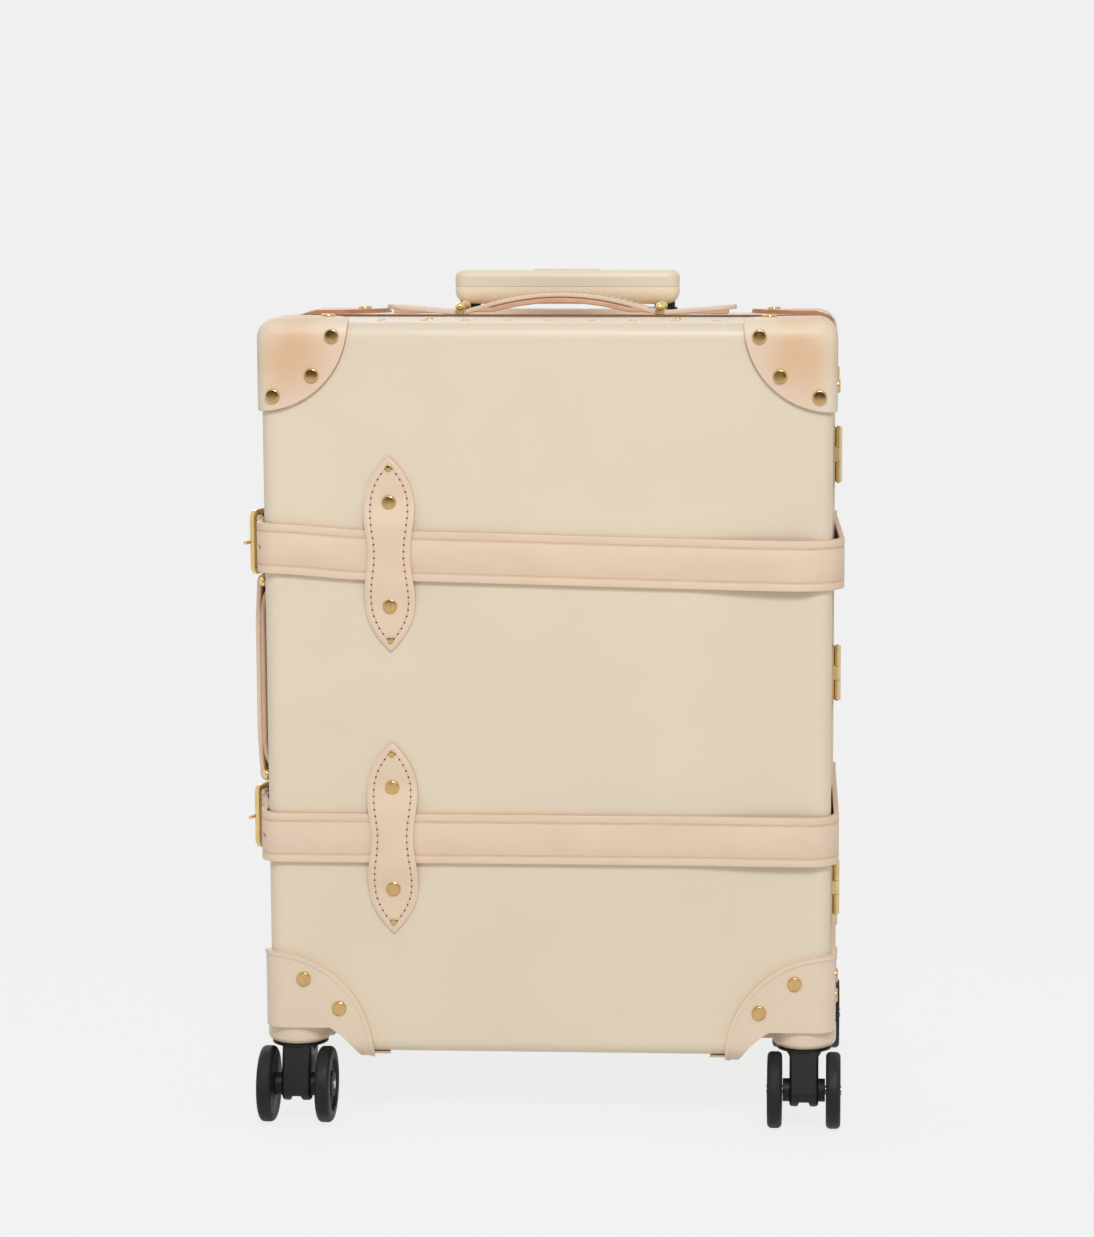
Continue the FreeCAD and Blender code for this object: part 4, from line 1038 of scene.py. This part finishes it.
# Half section of a head: shares of its radius and of its height
RIVET_SECTION = [(0.0, 1.0), (0.76, 1.0), (0.82, 0.98), (0.91, 0.85), (0.98, 0.5), (1.0, 0.15), (1.0, -0.35)]
LARGE_HEIGHT_SHARE = 0.36
LARGE_SEGMENTS = 28
SMALL_SEGMENTS = 14
SMALL_RADIUS = 2.3 * MM
SMALL_HEIGHT = 1.2 * MM
SMALL_EACH_SIDE = 4
# The separate solids of a modelled part that are smaller than this are no rivet heads
LEAST_HEAD = 5.0 * MM


def rivet(bm, place, outward, radius, height, segments):
    """Flat head with a rounded rim, spun round its axis."""
    side = outward.orthogonal().normalized()
    verts = [bm.verts.new(place + side * radius * across + outward * height * up)
             for across, up in RIVET_SECTION]
    edges = [bm.edges.new(pair) for pair in zip(verts, verts[1:])]
    bmesh.ops.spin(bm, geom=verts + edges, cent=place, axis=outward, angle=2 * math.pi, steps=segments,
                   use_merge=True, use_duplicate=False)
    ring = {vert for vert in bm.verts if (vert.co - place).length < 2 * radius}
    bmesh.ops.remove_doubles(bm, verts=list(ring), dist=0.001 * MM)
    rim = [edge for edge in bm.edges if edge.is_boundary and (edge.verts[0].co - place).length < 2 * radius]
    bmesh.ops.contextual_create(bm, geom=rim)


def islands(node):
    """Boxes of the separate solids in a modelled part."""
    bm = bmesh.new()
    bm.from_mesh(frame["nodes"][node].data)
    bmesh.ops.remove_doubles(bm, verts=bm.verts, dist=WELD)
    left = set(bm.verts)
    boxes = []
    while left:
        group = [left.pop()]
        low, high = group[0].co.copy(), group[0].co.copy()
        while group:
            vert = group.pop()
            low = Vector(map(min, low, vert.co))
            high = Vector(map(max, high, vert.co))
            for edge in vert.link_edges:
                other = edge.other_vert(vert)
                if other in left:
                    left.remove(other)
                    group.append(other)
        boxes.append((low, high))
    bm.free()
    return [pair for pair in boxes if max(pair[1] - pair[0]) > LEAST_HEAD]


def rivet_places(node):
    """Foot and outward direction of each rivet head of a modelled part."""
    middle = Vector((0, 0, (TOP + BOTTOM) / 2))
    for low, high in islands(node):
        size = high - low
        thin = min(range(3), key=lambda axis: size[axis])
        centre = (low + high) / 2
        outward = Vector((0, 0, 0))
        outward[thin] = 1.0 if centre[thin] > middle[thin] else -1.0
        yield centre - outward * size[thin] / 2, outward


def large_rivets(node, body):
    bm = bmesh.new()
    for place, outward in rivet_places(node):
        on_lid_top = outward.z > 0.5 and abs(place.x) < SIDE / 2
        radius = sizes().top_rivet_radius if on_lid_top else sizes().rivet_radius
        rivet(bm, place, outward, radius, LARGE_HEIGHT_SHARE * radius, LARGE_SEGMENTS)
    piece = put(node, bm, ("brass",))
    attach(piece, body)
    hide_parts(node)


def small_rivets(name, y, body):
    """A row of small painted heads across the case's top."""
    bm = bmesh.new()
    for step in range(-SMALL_EACH_SIDE, SMALL_EACH_SIDE + 1):
        place = Vector((step * sizes().small_rivet_pitch, y, TOP))
        rivet(bm, place, Vector(Z_AXIS), SMALL_RADIUS, SMALL_HEIGHT, SMALL_SEGMENTS)
    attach(put(name, bm, ("moulded_plastic",)), body)


class SUITCASE_OT_rivets(bpy.types.Operator):
    """Brass rivets, and the small painted ones on the top"""
    bl_idname = "suitcase.rivets"
    bl_label = "Rivets"

    def execute(self, context):
        large_rivets("front_rivets", "lid")
        large_rivets("rear_rivets", "body")
        small_rivets("front_small_rivets", -76 * MM, "lid")
        small_rivets("rear_small_rivets", 92 * MM, "body")
        return {"FINISHED"}


# Corner caps

CAP_REACH = 56.0 * MM
CAP_THICK = 2.8 * MM
CAP_RIM = 0.7 * MM
# How far the cap's inside sits in the case's skin
CAP_SINK = 0.02 * MM
CASE_CORNER = 10.5 * MM
CASE_EDGE = 10.0 * MM


def case_corner_block(grow):
    """The case's rounded outside near its right front top corner, grown by a thickness."""
    depth = 2 * CAP_REACH
    low = Vector((SIDE - depth, -FACE - grow, TOP - depth))
    high = Vector((SIDE + grow, -FACE + depth, TOP + grow))
    bm = bmesh.new()
    block(bm, (low + high) / 2, high - low)

    def lies(edge, axis, corner):
        return all(abs(vert.co[axis] - corner[axis]) < 0.01 * MM for vert in edge.verts)

    top_edge = [edge for edge in bm.edges if lies(edge, 0, high) and lies(edge, 2, high)]
    round_edges(bm, top_edge, CASE_CORNER + grow, 10)
    rim = [edge for edge in bm.edges
           if lies(edge, 1, low) and not lies(edge, 0, low) and not lies(edge, 2, low)]
    round_edges(bm, rim, CASE_EDGE + grow, 8)
    return bm


def corner_caps(side_name, body):
    """Moulded leather on the two top corners of one half."""
    piece = put("cap", case_corner_block(CAP_THICK), ("cap_leather", "leather_edge"))
    ball = bmesh.new()
    corner = Vector((SIDE, -FACE, TOP))
    bmesh.ops.create_uvsphere(ball, u_segments=128, v_segments=64, radius=CAP_REACH,
                              matrix=Matrix.Translation(corner))
    boolean(piece, ball, "INTERSECT")
    boolean(piece, case_corner_block(-CAP_SINK), "DIFFERENCE")
    bm = bmesh.new()
    bm.from_mesh(piece.data)
    mesh = piece.data
    bpy.data.objects.remove(piece)
    bpy.data.meshes.remove(mesh)
    bmesh.ops.remove_doubles(bm, verts=bm.verts, dist=WELD)
    # The cut rim takes the darker edge colour, partly burnished edge and partly painted shade
    for face in bm.faces:
        on_ball = all(abs((vert.co - corner).length - CAP_REACH) < 0.05 * MM for vert in face.verts)
        face.material_index = 1 if on_ball else 0
    rim = [edge for edge in bm.edges
           if len(edge.link_faces) == 2 and {face.material_index for face in edge.link_faces} == {0, 1}
           and is_outside(edge)]
    round_edges(bm, rim, CAP_RIM, 3, 0)
    other = bm.copy()
    mirror(other, TO_LEFT)
    join(bm, other)
    if body == "body":
        mirror(bm, TO_BACK)
    cap = put(side_name + "_caps", bm, ("cap_leather", "leather_edge"), 35.0)
    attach(cap, body)
    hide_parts(side_name + "_caps")


def is_outside(edge):
    """True for a rim edge on the cap's outer skin."""
    middle = (edge.verts[0].co + edge.verts[1].co) / 2
    past = (middle.x - SIDE, -FACE - middle.y, middle.z - TOP)
    return math.hypot(*[max(0.0, CASE_EDGE + distance) for distance in past]) > CASE_EDGE + CAP_THICK / 2


class SUITCASE_OT_caps(bpy.types.Operator):
    """Moulded leather caps on the top corners"""
    bl_idname = "suitcase.caps"
    bl_label = "Corner caps"

    def execute(self, context):
        for side_name, body in HALVES:
            corner_caps(side_name, body)
        return {"FINISHED"}


# Handles

HANDLE_WIDTH = 28.0 * MM
HANDLE_PLACE = 24.0 * MM
UPPER_PLY = 2.8 * MM
# Thickness of the thin dark strip that paints the shade between the handle's layers
DARK_LINE_PLY = 0.4 * MM
LOWER_PLY = 3.4 * MM
TAB_PLY = 2.6 * MM
TAB_START = 78.0 * MM
TAB_LENGTH = 33.0 * MM
HANDLE_TIP = 13.0 * MM
# Arch of the top handle: height and curve in millimetres, half length, and length over which its layers part
ARCH_HEIGHT = 14.2
ARCH_CURVE = 0.003
ARCH_HALF = 60.0 * MM
ARCH_PART = 16.0 * MM
# Side handle: distances from the case that divide its inner layer from its outer one, half length up to the
# folds, and width of the darker edge
SIDE_PLY = 2.9 * MM
SIDE_INNER = 9.85 * MM
SIDE_OUTER = 9.9 * MM
SIDE_FLAT = 58.0 * MM
SIDE_EDGE = 1.4 * MM
# Half lengths of the handles' seams
TOP_SEAM = 48.0 * MM
SIDE_SEAM = 44.0 * MM
SIDE_LOW, SIDE_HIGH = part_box("side_handle")
SIDE_HANDLE_MIDDLE = (SIDE_LOW + SIDE_HIGH) / 2


def tip_widths(frames, tip):
    """Widths along a strip that is rounded at both ends."""
    start, end = frames[0].translation, frames[-1].translation
    widths = []
    for frame_at in frames:
        near = min((frame_at.translation - start).length, (frame_at.translation - end).length)
        widths.append(tip_width(max(0.0, 1 - near / tip), 2.2, 0.1))
    return widths


def handle_seam(frames, across, lift, reach):
    """Seam line along a handle at a distance from its middle, for the frames within reach of its centre."""
    middle = (frames[0].translation + frames[-1].translation) / 2
    line = []
    for frame_at in frames:
        place = frame_at @ Vector((0, across, lift))
        spread = frame_at.translation - middle
        if max(abs(spread.x), abs(spread.z)) < reach:
            line.append((place, (frame_at.to_3x3() @ Vector((0, 0, 1))).normalized()))
    return line


def ply(bm, frames, drops, width, thick, finish):
    """One strip of leather under the frames' line, in one material."""
    part = bmesh.new()
    lowered = [frame_at @ Matrix.Translation((0, 0, -drop)) for frame_at, drop in zip(frames, drops)]
    sweep(part, strap_profile(width, thick), lowered)
    for face in part.faces:
        face.material_index = finish
    join(bm, part)


def slide_under(frames, drop, start, run):
    """Drops of a strip that leaves the strip above it past a distance from the handle's middle."""
    return [drop * ease((abs(frame_at.translation.x) - start) / run) for frame_at in frames]


def sew_handle(name, frames, lift, reach, body):
    """A seam along each edge of a handle."""
    seams = bmesh.new()
    for across in (-HANDLE_WIDTH / 2 + sizes().stitch_inset, HANDLE_WIDTH / 2 - sizes().stitch_inset):
        stitch(seams, handle_seam(frames, across, lift, reach), sizes().stitch_pitch)
    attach(put(name, seams, ("thread", "stitch_hole")), body)


def top_handle():
    """A pale strip through the loops; darker strips lie under its arch and its tabs, glued to it, and a thin
    dark strip between the arch's layers is painted shade in the groove there.
    """
    arch = [(x, ARCH_HEIGHT - ARCH_CURVE * x * x) for x in (-54, -42, -28, -14, 0, 14, 28, 42, 54)]
    line = [(-116, 6.3), (-72, 2.4), (-64, 2.4)] + arch + [(64, 2.4), (72, 2.4), (116, 6.3)]
    corners = [(x * MM, HANDLE_PLACE, TOP + z * MM) for x, z in line]
    turns = [20 * MM, 10 * MM, 24 * MM] + [60 * MM] * 7 + [24 * MM, 10 * MM, 20 * MM]
    frames = path_frames(corners, turns, 1.2 * MM, Y_AXIS)
    bm = bmesh.new()
    sweep(bm, strap_profile(HANDLE_WIDTH, UPPER_PLY), frames, tip_widths(frames, HANDLE_TIP))
    arched = [frame_at for frame_at in frames if abs(frame_at.translation.x) < ARCH_HALF]
    dark_line_drop = (UPPER_PLY + DARK_LINE_PLY) / 2
    lower = dark_line_drop + (DARK_LINE_PLY + LOWER_PLY) / 2
    rise = [1 - share for share in slide_under(arched, 1.0, ARCH_HALF - ARCH_PART, ARCH_PART)]
    # Thin dark strip between the layers: painted shade of the groove between them
    ply(bm, arched, [dark_line_drop * share for share in rise], HANDLE_WIDTH - 0.8 * MM, DARK_LINE_PLY, 2)
    ply(bm, arched, [lower * share for share in rise], HANDLE_WIDTH - 0.3 * MM, LOWER_PLY, 1)
    for hand in (-1, 1):
        tab = [frame_at for frame_at in frames
               if TAB_START < hand * frame_at.translation.x < TAB_START + TAB_LENGTH]
        drops = slide_under(tab, (UPPER_PLY + TAB_PLY) / 2, TAB_START, TAB_LENGTH)
        ply(bm, tab, drops, HANDLE_WIDTH - 0.6 * MM, TAB_PLY, 1)
    leather = put("top_handle", bm, ("handle_leather", "handle_edge", "leather_back"))
    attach(leather, "body")
    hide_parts("top_handle")
    sew_handle("top_handle_stitching", frames, UPPER_PLY / 2, TOP_SEAM, "body")


def side_handle():
    """One strip laid double: its ends fold round the bars and meet behind the middle."""
    fold = [(0.02, 8.3), (42, 8.3), (52, 7.0), (59.6, 2.8), (66.4, 2.8), (66.4, 9.6), (36, 11.2)]
    turns = [30, 16, 8, 3.35, 3.35, 30]
    line = fold + [(-along, out) for along, out in reversed(fold)]
    x, y, z = -SIDE, SIDE_HANDLE_MIDDLE.y, SIDE_HANDLE_MIDDLE.z
    corners = [(x - out * MM, y, z + along * MM) for along, out in line]
    radii = [radius * MM for radius in turns + turns[::-1]]
    frames = path_frames(corners, radii, 1.5 * MM, Y_AXIS)
    bm = bmesh.new()
    sweep(bm, strap_profile(HANDLE_WIDTH, SIDE_PLY), frames)
    keep_across = bm.verts.layers.float["across"]
    for face in bm.faces:
        middle = face.calc_center_median()
        behind = -SIDE - middle.x < SIDE_INNER and abs(middle.z - z) < SIDE_FLAT
        if behind and min(abs(vert[keep_across]) for vert in face.verts) > HANDLE_WIDTH / 2 - SIDE_EDGE:
            face.material_index = 1
    leather = put("side_handle", bm, ("handle_leather", "strap_edge"))
    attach(leather, "lid")
    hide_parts("side_handle")
    outer = [frame_at for frame_at in frames if -SIDE - frame_at.translation.x > SIDE_OUTER]
    sew_handle("side_handle_stitching", outer, SIDE_PLY / 2, SIDE_SEAM, "lid")


class SUITCASE_OT_handles(bpy.types.Operator):
    """Layered leather handles on the top and the left side"""
    bl_idname = "suitcase.handles"
    bl_label = "Handles"

    def execute(self, context):
        top_handle()
        side_handle()
        return {"FINISHED"}


# Stage

def sun(name, come_from, strength, spread):
    """Even light from one direction; the spread softens its shadows."""
    light = bpy.data.lights.new(name, "SUN")
    light.energy = strength
    light.angle = math.radians(spread)
    lamp = show(name, light)
    lamp.rotation_euler = Vector(come_from).to_track_quat("Z", "Y").to_euler()


def panel_light(name, place, target, power, size):
    """Square lamp that fades from the case's top to its foot."""
    light = bpy.data.lights.new(name, "AREA")
    light.energy = power
    light.size = size
    lamp = show(name, light)
    lamp.location = place
    lamp.rotation_euler = (Vector(place) - Vector(target)).to_track_quat("Z", "Y").to_euler()
    lamp.visible_camera = False


def seen_plainly(nodes, links):
    """1 for what the camera, metal and glass see, 0 for what only lights the case."""
    path = nodes.new("ShaderNodeLightPath")
    seen = path.outputs["Is Camera Ray"]
    for name in ("Is Glossy Ray", "Is Transmission Ray"):
        either = nodes.new("ShaderNodeMath")
        either.operation = "MAXIMUM"
        links.new(seen, either.inputs[0])
        links.new(path.outputs[name], either.inputs[1])
        seen = either.outputs[0]
    return seen


LIGHT_LEVEL = 0.42
BACKGROUND_LEVEL = 0.88


def make_world():
    """Even light, with a pale background for what the camera, metal and glass see."""
    world = bpy.data.worlds.new("studio")
    world.use_nodes = True
    bpy.context.scene.world = world
    nodes = world.node_tree.nodes
    links = world.node_tree.links
    background = nodes["Background"]
    background.inputs["Color"].default_value = (1, 1, 1, 1)
    level = nodes.new("ShaderNodeMapRange")
    links.new(seen_plainly(nodes, links), level.inputs["Value"])
    level.inputs["To Min"].default_value = LIGHT_LEVEL
    level.inputs["To Max"].default_value = BACKGROUND_LEVEL
    links.new(level.outputs["Result"], background.inputs["Strength"])


def stage_panel(name, matrix, finish):
    """Flat panel of the stage."""
    bm = bmesh.new()
    bmesh.ops.create_grid(bm, x_segments=1, y_segments=1, size=1.0, matrix=matrix)
    mesh = as_mesh(name, bm)
    mesh.materials.append(finish.material)
    return show(name, mesh)


FLOOR_HALF = 30.0
FLOOR_COLOUR = 0.96
FLOOR_GLOW = 0.9
FLOOR_LEVEL = 0.9


def make_floor():
    """Pale floor; for the camera part of it glows, so the object's shadow stays light."""
    finish = Finish("floor", (FLOOR_COLOUR,) * 3, 0.9, Specular_IOR_Level=0.0)
    paper = finish.noise(3.0, 2.0)
    finish.paint(finish.tones(paper, 0.995, 1.005))
    glow = finish.add("ShaderNodeEmission", [("Color", (1, 1, 1, 1)), ("Strength", FLOOR_LEVEL)])
    share = finish.math("MULTIPLY", seen_plainly(finish.nodes, finish.links), FLOOR_GLOW)
    both = finish.add("ShaderNodeMixShader", [("Fac", share)])
    finish.links.new(finish.shader.outputs["BSDF"], both.inputs[1])
    finish.links.new(glow.outputs["Emission"], both.inputs[2])
    finish.links.new(both.outputs["Shader"], finish.nodes["Material Output"].inputs["Surface"])
    floor = stage_panel("floor", Matrix.Diagonal((FLOOR_HALF, FLOOR_HALF, 1, 1)), finish)


FLAG_PLACE = (0, -3.5, 0.95)
FLAG_HALF = (2.2, 0.75, 1, 1)


def make_flag():
    """Dark panel behind the camera that only polished metal sees."""
    finish = Finish("flag", (0.03, 0.03, 0.03), 0.9)
    cloth = finish.noise(40.0, 2.0)
    finish.paint(finish.tones(cloth, 0.9, 1.1))
    upright = Matrix.Translation(FLAG_PLACE) @ Matrix.Rotation(math.pi / 2, 4, "X")
    flag = stage_panel("flag", upright @ Matrix.Diagonal(FLAG_HALF), finish)
    flag.visible_camera = False
    flag.visible_diffuse = False
    flag.visible_shadow = False


IMAGE_HEIGHT = 1237
FOCAL_PIXELS = 3142
CAMERA_PLACE = Vector((0.1755, -2.065, 0.5845))
CAMERA_TARGET = Vector((0.0862, -0.104, 0.3303))
CAMERA_SHIFT = -0.11


def make_camera():
    camera = bpy.data.cameras.new("camera")
    camera.sensor_fit = "VERTICAL"
    camera.sensor_height = 36.0
    camera.lens = FOCAL_PIXELS / IMAGE_HEIGHT * camera.sensor_height
    camera.shift_x = CAMERA_SHIFT
    shown = show("camera", camera)
    shown.location = CAMERA_PLACE
    shown.rotation_euler = (CAMERA_TARGET - CAMERA_PLACE).to_track_quat("-Z", "Y").to_euler()
    bpy.context.scene.camera = shown


class SUITCASE_OT_stage(bpy.types.Operator):
    """Floor, light and camera"""
    bl_idname = "suitcase.stage"
    bl_label = "Stage"

    def execute(self, context):
        context.scene.view_settings.view_transform = "Standard"
        make_world()
        make_floor()
        make_flag()
        sun("front light", (0.2, -1.0, 0.95), 0.55, 15)
        sun("back light", (-0.4, 1.0, 0.6), 0.45, 40)
        panel_light("key", (0.2, -1.7, 1.7), (0.0, 0.0, 0.35), 16.0, 0.6)
        make_camera()
        return {"FINISHED"}


class SUITCASE_OT_finishes(bpy.types.Operator):
    """Materials of the modelled parts"""
    bl_idname = "suitcase.finishes"
    bl_label = "Finishes"

    def execute(self, context):
        make_materials()
        for part in frame["record"]["subparts"]:
            mesh = frame["nodes"][part["node"]].data
            mesh.materials.clear()
            finish = SPECIAL_MATERIALS.get(part["node"], part["material_slot"])
            mesh.materials.append(MATERIALS[finish])
        return {"FINISHED"}


class SUITCASE_PT_panel(bpy.types.Panel):
    """Suitcase settings"""
    bl_label = "Suitcase"
    bl_idname = "SUITCASE_PT_panel"
    bl_space_type = "VIEW_3D"
    bl_region_type = "UI"
    bl_category = "Suitcase"

    def draw(self, context):
        layout = self.layout
        for group in (context.scene.suitcase_sizes, context.scene.suitcase_colours):
            for name in group.__annotations__:
                layout.prop(group, name)
        for operator in OPERATORS:
            layout.operator(operator.bl_idname)


OPERATORS = (
    SUITCASE_OT_finishes,
    SUITCASE_OT_straps,
    SUITCASE_OT_patches,
    SUITCASE_OT_rivets,
    SUITCASE_OT_caps,
    SUITCASE_OT_handles,
    SUITCASE_OT_stage,
)
CLASSES = (SuitcaseSizes, SuitcaseColours) + OPERATORS + (SUITCASE_PT_panel,)


def register():
    for cls in CLASSES:
        bpy.utils.register_class(cls)
    bpy.types.Scene.suitcase_sizes = PointerProperty(type=SuitcaseSizes)
    bpy.types.Scene.suitcase_colours = PointerProperty(type=SuitcaseColours)


def unregister():
    del bpy.types.Scene.suitcase_colours
    del bpy.types.Scene.suitcase_sizes
    for cls in reversed(CLASSES):
        bpy.utils.unregister_class(cls)


def main():
    register()
    bpy.ops.suitcase.finishes()
    bpy.ops.suitcase.straps()
    bpy.ops.suitcase.patches()
    bpy.ops.suitcase.rivets()
    bpy.ops.suitcase.caps()
    bpy.ops.suitcase.handles()
    bpy.ops.suitcase.stage()


if __name__ == "__main__":
    main()
